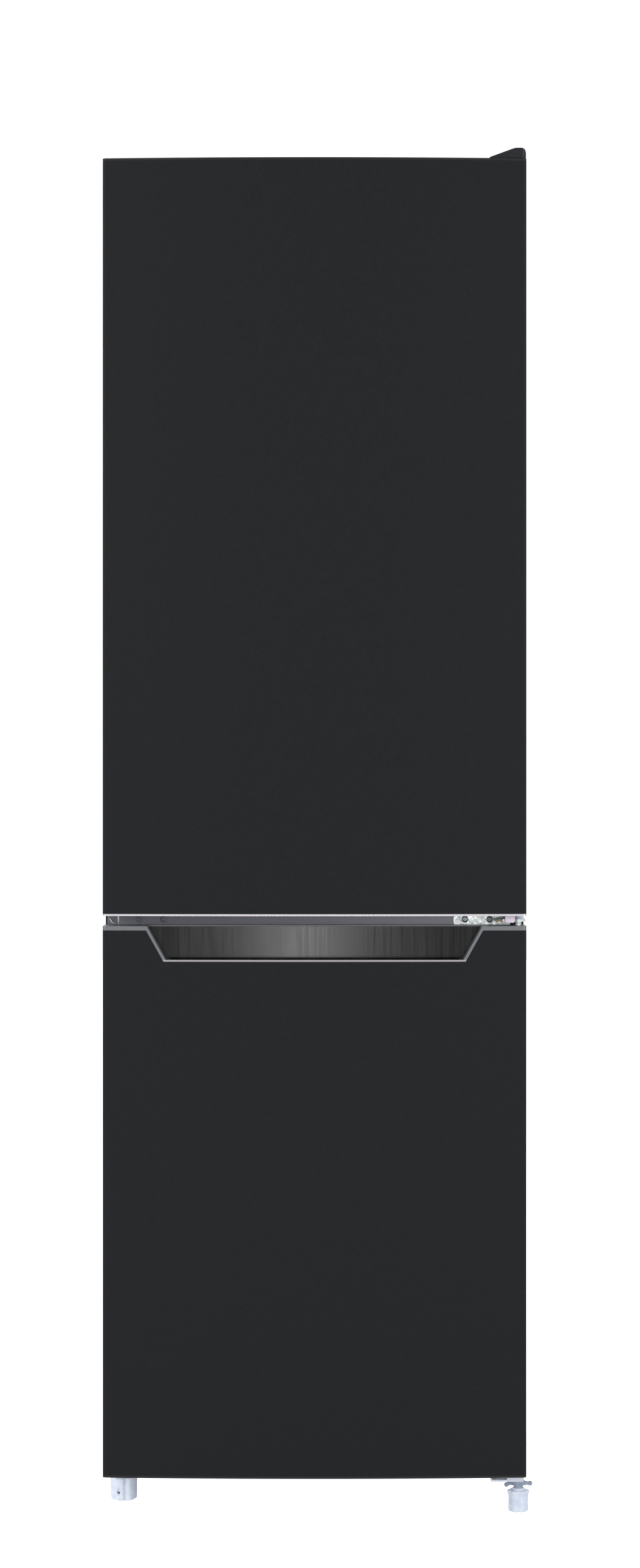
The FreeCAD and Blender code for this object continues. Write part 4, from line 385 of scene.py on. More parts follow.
# Natural nylon: bluish white with soft shading and a waxy gloss.
nylon = grained_finish("moulded_natural_nylon", "d6dfee", "e9eef7", 9.0, 0.05, (0.34, 0.46), milky)
print("light wanders", round(milky["Subsurface Scale"] / MM), "mm in", nylon.name)

# %% [markdown]
# The grip's moulding catches the light along its lower edge; that bright line is a painted highlight. A strip
# of its own would be too thick, so the highlight is painted on by place: below the recess's floor line, on
# the front face.

# %% Painted highlight on the grip's lower edge
HIGHLIGHT_TOP, HIGHLIGHT_BACK = 714.9, -293.5   # mm: the painted highlight lies below the one and in front of the other
tree = grip_trim.node_tree
shader = tree.nodes["Principled BSDF"]
lacquer = shader.inputs["Base Color"].links[0].from_node
place = add_node(tree, "ShaderNodeTexCoord")
where = add_node(tree, "ShaderNodeSeparateXYZ", links={"Vector": (place, "Object")})
below = add_node(tree, "ShaderNodeMath", {1: HIGHLIGHT_TOP * MM}, {0: (where, "Z")}, operation="LESS_THAN")
front = add_node(tree, "ShaderNodeMath", {1: HIGHLIGHT_BACK * MM}, {0: (where, "Y")}, operation="LESS_THAN")
both = {0: (below, "Value"), 1: (front, "Value")}
painted_highlight = add_node(tree, "ShaderNodeMath", links=both, operation="MULTIPLY")
mixed = {"Factor": (painted_highlight, "Value"), "A": (lacquer, "Color")}
# Painted highlight: a paler grey takes the lacquer's place where the edge catches the light.
blend = add_node(tree, "ShaderNodeMix", {"B": linear("949092")}, mixed, data_type="RGBA")
tree.links.new(blend.outputs["Result"], shader.inputs["Base Color"])
print("foil, mm up the moulding:", round(HIGHLIGHT_TOP - box_mm("grip_moulding")[0][2], 1))

# %% [markdown]
# ## See-through parts
# Crisper and bins are clear polystyrene, the freezer drawers frosted, and shelves are toughened glass.
# Transmission with each material's own index of refraction bends light as the real stuff does; a mix with
# a transparent shader would look like film.

# %% See-through materials
def see_through(name, dark, light, grain_mm, height_mm, gloss, share, index):
    """Grained finish that lets a share of the light through and bends it by its index of refraction."""
    values = {"Transmission Weight": share, "IOR": index}
    return grained_finish(name, dark, light, grain_mm, height_mm, gloss, values)


STYRENE, GLASS, ACRYLIC = 1.59, 1.52, 1.49   # indices of refraction
# Clear moulded polystyrene: bright edges and sharp reflections.
clear_tray = see_through("clear_polystyrene", "f2f6f7", "f6fafa", 5.0, 0.004, (0.06, 0.06), 0.92, STYRENE)
# Frosted polystyrene: a pale haze with soft shapes behind it.
frosted_tray = see_through("frosted_polystyrene", "edf3f6", "f2f7f9", 2.0, 0.01, (0.37, 0.37), 0.55, STYRENE)
# Toughened glass: clear, with a green cast at its edges.
shelf_glass = see_through("toughened_glass", "e2f2ec", "e6f4ef", 40.0, 0.001, (0.02, 0.02), 0.95, GLASS)
# Opal acrylic: white, and glowing a little where light passes.
lamp_lens = see_through("moulded_opal_acrylic", "f2f4f4", "f6f8f8", 3.0, 0.01, (0.28, 0.28), 0.35, ACRYLIC)
# Etched glass of the bulb: white and soft.
frosted_glass = see_through("etched_bulb_glass", "f1f1ee", "f6f6f3", 3.0, 0.005, (0.4, 0.5), 0.3, GLASS)
print("indices of refraction:", STYRENE, GLASS, ACRYLIC)

# %% [markdown]
# ## Machinery and small finishes
# The compressor shell and the condenser are stove-enamelled black, the lines are copper, dulled by
# brazing, and the evaporator is rolled aluminium. The foam only shows through gaps; it is cream.

# %% Enamel, metals, print and foam
# Stove enamel: deep black with a slightly uneven gloss.
enamel = grained_finish("stove_enamelled_steel", "0c0c0d", "131314", 2.5, 0.02, (0.25, 0.4))
# Brazed copper: brown patches of oxide on bare red metal.
copper = grained_finish("brazed_copper", "7d4a31", "c07a52", 8.0, 0.01, (0.28, 0.5), {"Metallic": 1.0})
# Turned brass: small, warm and bright.
brass = grained_finish("turned_brass", "c9a24e", "dcb868", 0.6, 0.002, (0.25, 0.35), {"Metallic": 1.0})
# Pad-printed ink: flat, with the faintest edge of gloss.
print_grey = grained_finish("pad_printed_grey_ink", "4a4e52", "555a5e", 0.5, 0.002, (0.4, 0.5))
pointer_red = grained_finish("pad_printed_red_ink", "b03a2e", "bb4438", 0.5, 0.002, (0.35, 0.45))
# Polyurethane foam: cream, matt and finely pitted.
foam = grained_finish(
    "foamed_polyurethane", "c9b988", "dccfa6", 1.5, 0.2, (0.8, 0.95), {"Specular IOR Level": 0.1}
)
# Rolled aluminium: one even grey, with the lines of the rolls along X.
aluminium, tree, shader, place = start_finish("rolled_aluminium", "c6c9cb", {"Metallic": 1.0})
add_relief(tree, shader, place, 1.5, 0.005, (0.3, 0.45), stretch=(0.05, 1, 1))
print("all materials:", len(bpy.data.materials))

# %% [markdown]
# ## Give every CAD piece its finish
# The frame's nodes have their shapes already and only need materials. One table is easier to read and to
# change than a line for each.

# %% Assign the finishes
FINISHES = {
    door_coat: ["upper_door_skin", "lower_door_skin"],
    side_coat: ["right_side_panel", "left_side_panel", "top_panel"],
    galvanised: [
        "back_panel", "bottom_pan", "base_crossmember", "rear_crossbar", "roller_axles", "top_hinge",
    ],
    plated: ["middle_hinge"],
    foot_bracket: ["bottom_hinge"],
    bolt_steel: ["fasteners"],
    beam_strip: ["middle_beam", "beam_cover"],
    grip_steel: ["grip_plate"],
    lacquered_trim: ["left_bracket"],
    grip_trim: ["grip_moulding"],
    bright_trim: ["upper_door_bottom_cap"],
    shelf_edge: ["shelf_trims"],
    black_cap: ["lower_door_bottom_cap", "upper_door_top_cap", "terminal_box"],
    hinge_cover: ["top_hinge_cover"],
    liner_white: ["fridge_liner", "freezer_liner", "upper_door_liner", "lower_door_liner", "control_housing"],
    nylon: ["left_foot", "right_foot", "hinge_sleeve", "upper_door_bushes", "lower_door_bushes"],
    pink_nylon: ["door_stop"],
    grey_nylon: ["wing_nut"],
    knob_white: ["thermostat_knob", "egg_tray", "evaporation_pan"],
    spacer_black: ["rear_spacers", "left_roller", "right_roller"],
    seal_grey: ["upper_door_gasket", "lower_door_gasket"],
    rubber_black: ["compressor_grommets"],
    clear_tray: ["crisper_drawer", "door_bins"],
    frosted_tray: ["freezer_drawers"],
    shelf_glass: ["glass_shelves", "freezer_shelves"],
    lamp_lens: ["lamp_cover"],
    enamel: ["compressor", "condenser_coil", "condenser_wires"],
    copper: ["refrigerant_lines"],
    aluminium: ["evaporator_plate"],
    foam: ["cabinet_foam", "upper_door_foam", "lower_door_foam"],
}
for finish, nodes in FINISHES.items():
    for name in nodes:
        for slot in frame["nodes"][name].material_slots:
            slot.material = finish
finished = {name for nodes in FINISHES.values() for name in nodes}
print("nodes finished:", len(finished), "left out:", sorted(set(frame["nodes"]) - finished))

# %% [markdown]
# ## Tools for new pieces
# Some pieces are plain in the CAD model, because a solid there has to stay light: the tubes have six
# sides, the compressor a few flat bands. Here they are made again, round and smooth, at the same size and
# place. Every new piece gets its finish, rides on a body, and may stand for the CAD node it replaces.


def add_piece(name, data, finish, body, *replaced):
    """Link mesh or curve data as a piece that rides on a body and stands for the replaced nodes."""
    data.materials.append(finish)
    piece = bpy.data.objects.new(name, data)
    bpy.context.scene.collection.objects.link(piece)
    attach(piece, body)
    if replaced:
        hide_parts(*replaced)
    print("made", name, "of", finish.name, "on", body)
    return piece


def smooth_mesh(name, bm, sharp_degrees=35):
    """Mesh from a bmesh: normals outwards, smooth but for its sharp edges."""
    bmesh.ops.recalc_face_normals(bm, faces=bm.faces)
    mesh = bpy.data.meshes.new(name)
    bm.to_mesh(mesh)
    bm.free()
    mesh.shade_smooth()
    mesh.set_sharp_from_angle(angle=math.radians(sharp_degrees))
    return mesh


def add_solid(name, bm, finish, body, *replaced, sharp_degrees=35):
    """Make a bmesh a smooth piece."""
    return add_piece(name, smooth_mesh(name, bm, sharp_degrees), finish, body, *replaced)


# %% [markdown]
# Bent tubes follow their straight runs, with every corner turned in an even bend, as a tube bender makes
# them. A Bezier curve does it simply: two points where each bend starts and ends, with handles along the
# runs, and a bevel for the round section.

# %% Bend a tube along its runs
def add_bend(spline, before, corner, after, bend):
    """Two points on the spline, at the start and the end of one bend."""
    into, out = (corner - before).normalized(), (after - corner).normalized()
    turn = into.angle(out)
    setback = bend * math.tan(turn / 2)
    handle = bend * 4 / 3 * math.tan(turn / 4)
    spline.bezier_points.add(2)
    for point, place, way in zip(spline.bezier_points[-2:], (-into * setback, out * setback), (into, out)):
        point.co = corner + place
        point.handle_left = point.co - way * handle
        point.handle_right = point.co + way * handle


def round_curve(name):
    """Curve with a round section; each point's radius is then in millimetres."""
    curve = bpy.data.curves.new(name, "CURVE")
    curve.dimensions = "3D"
    curve.bevel_depth = MM
    curve.bevel_resolution = 4
    curve.use_fill_caps = True
    return curve


def bent_tubes(name, routes, finish, body, *replaced):
    """One piece of several tubes; each route is (points in mm, radius in mm, bend in mm)."""
    curve = round_curve(name)
    curve.resolution_u = 6
    for points, radius, bend in routes:
        points = [Vector(point) * MM for point in points]
        spline = curve.splines.new("BEZIER")
        spline.bezier_points[0].co = points[0]
        for before, corner, after in zip(points, points[1:], points[2:]):
            add_bend(spline, before, corner, after, bend * MM)
        spline.bezier_points.add(1)
        spline.bezier_points[-1].co = points[-1]
        for end, beside, way in ((0, 1, 1), (-1, -2, -1)):
            point = spline.bezier_points[end]
            run = (spline.bezier_points[beside].co - point.co) / 3 * way
            point.handle_right = point.co + run
            point.handle_left = point.co - run
        for point in spline.bezier_points:
            point.radius = radius
    return add_piece(name, curve, finish, body, *replaced)


print("a quarter bend starts", round(math.tan(math.radians(45)), 3), "bend radii before its corner")

# %% [markdown]
# ## Condenser and lines
# The condenser is one long steel tube: a riser from the compressor, eleven runs, and an outlet to the
# drier. Straight pieces and elbows would show joints where the real one is bent from a single length.

# %% Where the compressor and the condenser are
SEAM, SHELL_HEIGHT = 4.0, 150.0      # the welded flange stands proud of the shell by the first
low, middle, high = box_mm("compressor")
FOOT_LOW, SHELL_X, SHELL_Y, SHELL_Z = low[2], middle[0], middle[1], high[2] - SHELL_HEIGHT
SHELL_HALF, SHELL_REACH = high[0] - SHELL_X - SEAM, high[1] - SHELL_Y - SEAM   # half length, half width
BACK = box_mm("left_side_panel")[2][1]
CONDENSER_Y = box_mm("condenser_wires")[1][1]
print("shell's middle:", SHELL_X, SHELL_Y, "half length and width:", SHELL_HALF, SHELL_REACH)

# %% Round condenser tube
CONDENSER_TOP, RUNS, PITCH, HALF_RUN, RISER_X = 1640.0, 11, 119.0, 205.0, 231.0
OUTLET_Z, DISCHARGE_Z = 335.0, SHELL_Z + 95
points = [(SHELL_X + SHELL_HALF, SHELL_Y, DISCHARGE_Z), (RISER_X, SHELL_Y, DISCHARGE_Z),
          (RISER_X, CONDENSER_Y, DISCHARGE_Z), (RISER_X, CONDENSER_Y, CONDENSER_TOP)]
for run in range(RUNS):
    side = 1 if run % 2 == 0 else -1
    z = CONDENSER_TOP - run * PITCH
    points += [(side * HALF_RUN, CONDENSER_Y, z)] * (run > 0)
    points += [(-side * HALF_RUN, CONDENSER_Y, z)] * (run < RUNS - 1)
points += [(-RISER_X, CONDENSER_Y, z), (-RISER_X, CONDENSER_Y, OUTLET_Z)]
bent_tubes("condenser_tube", [(points, 2.4, 14.0)], enamel, "cabinet", "condenser_coil")
print("condenser corners:", len(points) - 2)

# %% [markdown]
# The wide suction line comes back from the evaporator, the short process tube was pinched off after
# filling, and the thin capillary leaves the drier for the evaporator. All three make one piece.

# %% Copper lines
LEFT_END, BAY_TOP = SHELL_X - SHELL_HALF, box_mm("bottom_pan")[2][2] - 1   # the lines end under the roof


def elbow(start, end, y, low, high):
    """Run to the left at one height, then up."""
    return [(LEFT_END + start, y, low), (LEFT_END + end, y, low), (LEFT_END + end, y, high)]


suction, process = elbow(4, -50, SHELL_Y + 12, 173, BAY_TOP), elbow(8, -26, SHELL_Y - 24, 163, 218)
x, y = 60 - RISER_X, CONDENSER_Y - 60
capillary = [(-RISER_X, CONDENSER_Y, 240), (-RISER_X, CONDENSER_Y, 180), (x, y, 180), (x, y, BAY_TOP)]
routes = [(suction, 3.2, 16.0), (process, 3.0, 12.0), (capillary, 1.3, 12.0)]
bent_tubes("copper_lines", routes, copper, "cabinet", "refrigerant_lines")
print("copper lines:", len(routes))

# %% [markdown]
# ## Turned shapes
# Turned, fluted and oval pieces are one idea: an outline seen from above, raised through a list of
# (reach, height) steps in millimetres. A spin would make only the round ones, so a circle is extruded
# once per step and each point put where the outline says. The extrusion hands out its faces in another
# order each time, so they are sorted; a Boolean then cuts the same way in every run. The drier is the
# first, a copper capsule.

# %% Raise an outline through a profile
def sort_by_place(bm, sides):
    """Sort points, edges and faces of a raised circle by height, then by angle."""
    def place(item):
        corners = [vert.co for vert in getattr(item, "verts", [item])]
        middle = sum(corners, Vector()) / len(corners)
        return round(2 * middle.z) * 4 * sides + round(math.atan2(middle.y, middle.x) * sides / math.pi)
    for items in (bm.verts, bm.edges, bm.faces):
        items.sort(key=place)


def raised(outline, profile, sides=64, ring=False):
    """Bmesh of an outline(angle, reach) raised through (reach, z) steps; a ring joins its two ends."""
    bm = bmesh.new()
    bmesh.ops.create_circle(bm, segments=sides, radius=1.0)
    edges = bm.edges[:]
    for _ in profile[1:]:
        grown = bmesh.ops.extrude_edge_only(bm, edges=edges)["geom"]
        points = {item for item in grown if isinstance(item, bmesh.types.BMVert)}
        edges = [item for item in grown if isinstance(item, bmesh.types.BMEdge) and set(item.verts) <= points]
        bmesh.ops.translate(bm, verts=list(points), vec=(0, 0, 1))
    sort_by_place(bm, sides)
    ends = [edge for edge in bm.edges if edge.is_boundary]
    for vert in bm.verts:
        reach, z = profile[round(vert.co.z)]
        x, y = outline(math.atan2(vert.co.y, vert.co.x), reach)
        vert.co = (x * MM, y * MM, z * MM)
    if ring:
        bmesh.ops.bridge_loops(bm, edges=ends)
    else:
        bmesh.ops.holes_fill(bm, edges=ends, sides=0)
    return bm


def round_about(x, y):
    """Circle about an upright axis."""
    return lambda angle, reach: (x + reach * math.cos(angle), y + reach * math.sin(angle))


# %% Filter drier
drier = [(1.6, 240), (2.0, 246), (2.6, 249), (5.5, 255), (7.8, 259), (8.5, 263), (8.5, 312), (7.8, 316),
         (5.5, 320), (3.4, 325), (3.2, 328), (3.2, OUTLET_Z)]
bm = raised(round_about(-RISER_X, CONDENSER_Y), drier, sides=40)
add_solid("filter_drier", bm, copper, "cabinet")
print("drier, mm long:", drier[-1][1] - drier[0][1])

# %% [markdown]
# ## Compressor
# A hermetic compressor is two deep-drawn half shells, welded where their flanges meet. A squashed sphere
# has no wall and no flange, so an oval is raised through the lower dome, wall, flange and upper dome.

# %% Compressor shell
def oval_about(x, y, half_straight):
    """Two half circles joined by straight sides."""
    def outline(angle, reach):
        end = math.copysign(half_straight, math.cos(angle))
        return x + end + reach * math.cos(angle), y + reach * math.sin(angle)
    return outline


DOME, FLANGE, EDGE = 34.0, 5.0, 0.6          # the domes' radius, the flange's height, its rounded edges
seam_z = SHELL_Z + SHELL_HEIGHT * 0.52       # the flange sits just over half way up
quarter = [math.radians(step * 10) for step in range(10)]
dome = [(DOME * (1 - math.sin(turn)), DOME * (1 - math.cos(turn))) for turn in quarter]
flange = [(0, -1.5), (1, 0), (SEAM - EDGE, 0), (SEAM, EDGE), (SEAM, FLANGE - EDGE), (SEAM - EDGE, FLANGE),
          (1, FLANGE), (0, FLANGE + 1.5)]
profile = [(SHELL_REACH - inset, SHELL_Z + rise) for inset, rise in dome]
profile += [(SHELL_REACH + out, seam_z + rise) for out, rise in flange]
profile += [(SHELL_REACH - inset, SHELL_Z + SHELL_HEIGHT - rise) for inset, rise in dome[::-1]]
shell = raised(oval_about(SHELL_X, SHELL_Y, SHELL_HALF - SHELL_REACH), profile, sides=90)
add_solid("compressor_shell", shell, enamel, "cabinet", "compressor")
print("steps in the shell's profile:", len(profile))

# %% [markdown]
# The shell stands on a pressed foot plate: a cross of two flat plates, with a raised middle. Boxes with
# softened edges are enough here, and for small folded parts too.

# %% Compressor foot plate
def slab(bm, low, high, bevel=0.6):
    """Add a block from corner to corner (mm) to a bmesh, its edges softened."""
    made = bmesh.ops.create_cube(bm, size=MM)["verts"]
    size, middle = Vector(high) - Vector(low), (Vector(high) + Vector(low)) / 2 * MM
    bmesh.ops.scale(bm, verts=made, vec=size)
    bmesh.ops.translate(bm, verts=made, vec=middle)
    edges = {edge for vert in made for edge in vert.link_edges}
    bmesh.ops.bevel(
        bm, geom=list(edges), offset=bevel * MM, offset_type="OFFSET", affect="EDGES", segments=2,
        profile=0.5, material=-1,
    )


FOOT_TOP = FOOT_LOW + 3
bm = bmesh.new()
PLATES = ((95, 50, 3, 0.6), (80, 63, 3, 0.6), (40, 32, 12, 3))   # half length, half width, height, edge
for half_x, half_y, height, bevel in PLATES:
    low = (SHELL_X - half_x, SHELL_Y - half_y, FOOT_LOW)
    high = (SHELL_X + half_x, SHELL_Y + half_y, FOOT_LOW + height)
    slab(bm, low, high, bevel)
add_solid("compressor_foot_plate", bm, enamel, "cabinet")
print("foot plate from", FOOT_LOW, "to", FOOT_TOP, "mm")

# %% [markdown]
# ## Screws and bolts
# Sheet-metal screws have a domed head with a cross recess, cut here by two crossing Booleans. Bolts have
# a chamfered hexagon on a washer. Each is made once, pointing up, and copied.

# %% Cut one shape out of another
def carved(bm, tool):
    """Mesh of one bmesh less another."""
    patterns = []
    for shape in (bm, tool):
        patterns.append(bpy.data.objects.new("pattern", smooth_mesh("pattern", shape)))
        bpy.context.scene.collection.objects.link(patterns[-1])
    body, cutter = patterns
    cut = body.modifiers.new("cut", "BOOLEAN")
    cut.operation = "DIFFERENCE"
    cut.object = cutter
    bpy.context.view_layer.update()
    mesh = bpy.data.meshes.new_from_object(body.evaluated_get(bpy.context.evaluated_depsgraph_get()))
    for pattern in patterns:
        bpy.data.objects.remove(pattern)
    mesh.materials.clear()
    return mesh


def recessed_head(radius, height):
    """Mesh of a domed head with a cross cut into its top; sizes are shares of its radius and height."""
    dome = ((1, 0), (1, 0.3), (0.93, 0.6), (0.75, 0.85), (0.45, 1))
    head = raised(round_about(0, 0), [(radius * out, height * up) for out, up in dome], sides=32)
    for x, y in ((0.15, 0.62), (0.62, 0.15)):
        cut = bmesh.new()
        slab(cut, (-radius * x, -radius * y, height * 0.45), (radius * x, radius * y, height * 2), 0.05)
        mesh = carved(head, cut)
        head = bmesh.new()
        head.from_mesh(mesh)
    head.free()
    return mesh


beam_screw, small_screw = recessed_head(4.4, 2.2), recessed_head(3.6, 1.8)
print("faces of a screw head:", len(beam_screw.polygons))

# %% Hexagon bolt
def hexagon_head(radius, height, washer_reach, washer_height):
    """Mesh of a hexagon bolt head on its washer, with a chamfer round its top."""
    hexagon = [(radius, washer_height), (radius, height - 0.5), (radius * 0.88, height)]
    bm = raised(round_about(0, 0), hexagon, sides=6)
    washer = raised(round_about(0, 0), [(washer_reach, 0), (washer_reach, washer_height)], sides=32)
    bm.from_mesh(smooth_mesh("washer", washer))
    return smooth_mesh("bolt", bm)


bolt = hexagon_head(5.7, 3.5, 7.5, 0.8)
print("faces of a bolt head:", len(bolt.polygons))

# %% [markdown]
# The copies of one row are joined into one piece, which keeps the list of pieces short. A matrix turns the
# upright pattern forwards, backwards, up or down.

# %% Copy a pattern to its places
def copies(name, pattern, places, turn, finish, body, *replaced):
    """One piece of the same mesh at several places (mm), turned by one matrix."""
    bm = bmesh.new()
    for place in places:
        before = len(bm.verts)
        bm.from_mesh(pattern)
        move = Matrix.Translation(Vector(place) * MM) @ turn
        bmesh.ops.transform(bm, matrix=move, verts=bm.verts[before:])
    mesh = bpy.data.meshes.new(name)
    bm.to_mesh(mesh)
    bm.free()
    return add_piece(name, mesh, finish, body, *replaced)


FORWARD, BACKWARD = Matrix.Rotation(math.radians(90), 4, "X"), Matrix.Rotation(math.radians(-90), 4, "X")
UP, DOWN = Matrix.Identity(4), Matrix.Rotation(math.radians(180), 4, "X")
print("forward turns up into", [round(value) for value in FORWARD @ Vector((0, 0, 1))])

# %% [markdown]
# The two screws on the left only hold the strip and are painted with it. The right pair, bare zinc, carries
# the middle hinge. Two pieces, because a piece has one finish here.

# %% Screws of the beam
low, middle, high = box_mm("beam_cover")
STRIP_LEFT, STRIP_FRONT, STRIP_LOW, STRIP_HIGH, BEAM_Z = low[0], low[1], low[2], high[2], middle[2]
FLANGE_FRONT = box_mm("left_bracket")[0][1]      # the hinge's flange lies level with the left bracket
SCREW_X = (196, 228)                             # on both sides
on_strip = [(-x, STRIP_FRONT, BEAM_Z) for x in SCREW_X]
on_flange = [(x, FLANGE_FRONT, BEAM_Z) for x in SCREW_X]
copies("strip_screws", beam_screw, on_strip, FORWARD, beam_strip, "cabinet", "fasteners")
copies("middle_hinge_screws", beam_screw, on_flange, FORWARD, bolt_steel, "cabinet")
print("screws are", BEAM_Z, "mm up")

# %% [markdown]
# Bolts hold the top hinge, under its cover, the bottom bracket, and the compressor on its rubber mounts.
# Their heads sit on the plates, so their heights come from the steel below and the plate's thickness.

# %% Bolts of the hinges and the compressor
HINGE_PLATE, MOUNT_X, MOUNT_Y = 3, 82, 50
top_plate = box_mm("top_panel")[2][2] + HINGE_PLATE
bottom_plate = box_mm("base_crossmember")[0][2] - HINGE_PLATE
mounts = [(SHELL_X + x, SHELL_Y + y) for x in (-MOUNT_X, MOUNT_X) for y in (-MOUNT_Y, MOUNT_Y)]
BOLTS = {   # piece: places seen from above, height, direction
    "top_hinge_bolts": ([(250.5, -217), (250.5, -181), (262.5, -199)], top_plate, UP),
    "bottom_hinge_bolts": ([(193.5, -215), (193.5, -189), (247.5, -199)], bottom_plate, DOWN),
    "compressor_bolts": (mounts, FOOT_TOP, UP),
}
for name, (places, z, turn) in BOLTS.items():
    copies(name, bolt, [(x, y, z) for x, y in places], turn, bolt_steel, "cabinet")
print("hinge plates' faces:", top_plate, bottom_plate)

# %% [markdown]
# The back panel has a row of small screws along each edge, and two caps over the holes that the foam was
# poured through.

# %% Screws and caps of the back panel
SIDE_X, SIDE_LOW, SIDE_STEP, SIDE_COUNT = 251, 290, 239, 7
END_X, END_Z = (-125, 0, 125), (284, 1738)
rows = [(side * SIDE_X, BACK, SIDE_LOW + SIDE_STEP * step) for side in (-1, 1) for step in range(SIDE_COUNT)]
rows += [(x, BACK, z) for x in END_X for z in END_Z]
copies("back_panel_screws", small_screw, rows, BACKWARD, bolt_steel, "cabinet")
cap = smooth_mesh("cap", raised(round_about(0, 0), [(12, 0), (12, 0.8), (10.5, 1.8), (6, 2.2)], sides=48))
copies("foam_hole_caps", cap, [(0, BACK, 1690), (0, BACK, 345)], BACKWARD, knob_white, "cabinet")
print("screws on the back panel:", len(rows))

# %% [markdown]
# ## Levelling feet
# The left foot turns on a threaded rod. Bump would leave the thread's outline straight, so a small closed
# tooth is spun round the rod while it climbs one pitch per turn.

# %% Thread of the left foot
FOOT_X, FOOT_Y = box_mm("left_foot")[1][:2]
THREAD_PITCH, THREAD_LOW, THREAD_HIGH, THREAD_ROOT, TURN_STEPS = 1.5, 29.0, 45.0, 4.9, 24
TOOTH = ((0, 0), (0.55, 0.7), (0, 1.4))      # how far out and how far up
bm = bmesh.new()
tooth = [bm.verts.new(((THREAD_ROOT + out) * MM, 0, (THREAD_LOW + up) * MM)) for out, up in TOOTH]
edges = [bm.edges.new(pair) for pair in zip(tooth, tooth[1:] + tooth[:1])]
turns = int((THREAD_HIGH - THREAD_LOW) / THREAD_PITCH) - 1
bmesh.ops.spin(
    bm, geom=tooth + edges, cent=(0, 0, 0), axis=(0, 0, 1), angle=math.radians(360) * turns,
    steps=TURN_STEPS * turns, dvec=(0, 0, THREAD_PITCH * MM / TURN_STEPS), use_merge=False,
)
bmesh.ops.holes_fill(bm, edges=bm.edges, sides=3)
bmesh.ops.translate(bm, verts=bm.verts, vec=(FOOT_X * MM, FOOT_Y * MM, 0))
add_solid("left_foot_thread", bm, nylon, "left_foot", sharp_degrees=20)
print("turns of thread:", turns)

# %% [markdown]
# Both feet have a knob with six hollows for the fingers. A Boolean would leave sharp rims; an outline whose
# reach dips six times per turn is smooth. The right foot is slimmer; the left has a cross hole for a pin.

# %% Fluted knob and rod of the right foot
def fluted_about(x, y, depth, turn=0.0, flutes=6):
    """Round outline with narrow hollows, depth their share of the reach, turned by so many degrees."""
    def outline(angle, reach):
        hollow = (0.5 - 0.5 * math.cos(flutes * (angle - math.radians(turn)))) ** 3
        reach *= 1 - depth * hollow
        return x + reach * math.cos(angle), y + reach * math.sin(angle)
    return outline


AXIS_X, AXIS_Y = box_mm("right_foot")[1][:2]
knob = [(10.5, 0), (11.8, 0.4), (12.6, 1.2), (12.9, 2.4), (12.9, 6), (12.7, 9), (12.6, 14), (12.6, 18),
        (12.8, 20.5), (13.4, 22.4), (14.0, 24), (14.2, 25.4), (14.0, 26.6), (13.0, 27.2)]
rod = [(7.5, 26), (7.5, 30.1), (5, 30.1), (5, 48.4)]
bm = raised(fluted_about(AXIS_X, AXIS_Y, 0.2), knob, sides=120)
add_solid("right_foot_knob", bm, nylon, "right_foot", "right_foot", sharp_degrees=50)
bm = raised(round_about(AXIS_X, AXIS_Y), rod, sides=48)
add_solid("right_foot_rod", bm, nylon, "right_foot")
print("right foot's axis:", AXIS_X, AXIS_Y)

# %% Fluted knob and rod of the left foot
HOLE_OUT, HOLE_Z, HOLE_RADIUS = 6, 10.5, 2.2      # the pin's hole lies to the left of the axis
knob = [(14.0, 0), (16.0, 0.6), (17.1, 1.8), (17.5, 3.4), (17.5, 26.2), (17.2, 26.5), (17.8, 26.9),
        (17.9, 27.4), (17.9, 28.8), (17.4, 29.3), (15, 29.5)]
hole = raised(round_about(0, 0), [(HOLE_RADIUS, -20), (HOLE_RADIUS, 20)], sides=24)
place = Matrix.Translation(Vector((FOOT_X - HOLE_OUT, FOOT_Y, HOLE_Z)) * MM) @ FORWARD
bmesh.ops.transform(hole, matrix=place, verts=hole.verts)
mesh = carved(raised(fluted_about(FOOT_X, FOOT_Y, 0.15, turn=12), knob, sides=120), hole)
add_piece("left_foot_knob", mesh, nylon, "left_foot", "left_foot")
bm = raised(round_about(FOOT_X, FOOT_Y), [(5, 24), (5, 57)], sides=48)
add_solid("left_foot_rod", bm, nylon, "left_foot")
print("left foot's axis:", FOOT_X, FOOT_Y)

# %% [markdown]
# The lock nut on the right foot has a waisted hub and two curled wings that swell towards their ends. A
# curve whose radius changes from point to point is simpler than a mesh here.

# %% Hub of the wing nut
NUT_LOW, NUT_TOP = box_mm("wing_nut")[0][2], box_mm("wing_nut")[2][2]
BORE = 5.1
hub = [(BORE, NUT_LOW), (6.0, NUT_LOW), (6.2, 32), (7.0, 34), (8.2, 35.6), (8.5, 37), (8.5, 39),
       (7.8, NUT_TOP), (BORE, NUT_TOP)]
bm = raised(round_about(AXIS_X, AXIS_Y), hub, sides=48, ring=True)
add_solid("nut_hub", bm, grey_nylon, "wing_nut", "wing_nut")
print("nut, mm high:", round(NUT_TOP - NUT_LOW, 1))

# %% Wings of the wing nut
WING_Z = 36.0
WING = ((6, 0, 3.2), (8.5, 0, 3.0), (11, 0.1, 2.4), (13.2, 0.6, 2.3), (15.3, 1, 3.3), (17.3, 1, 2.9),
        (18.3, 1, 0.5))      # how far out, share of the rise, radius
for name, side, rise in (("left_nut_wing", -1, -2.1), ("right_nut_wing", 1, -0.4)):
    curve = round_curve(name)
    spline = curve.splines.new("NURBS")
    spline.points.add(len(WING) - 1)
    for point, (out, lift, radius) in zip(spline.points, WING):
        point.co = ((AXIS_X + side * out) * MM, AXIS_Y * MM, (WING_Z + rise * lift) * MM, 1)
        point.radius = radius
    spline.order_u = 3
    spline.use_endpoint_u = True
    add_piece(name, curve, grey_nylon, "wing_nut")
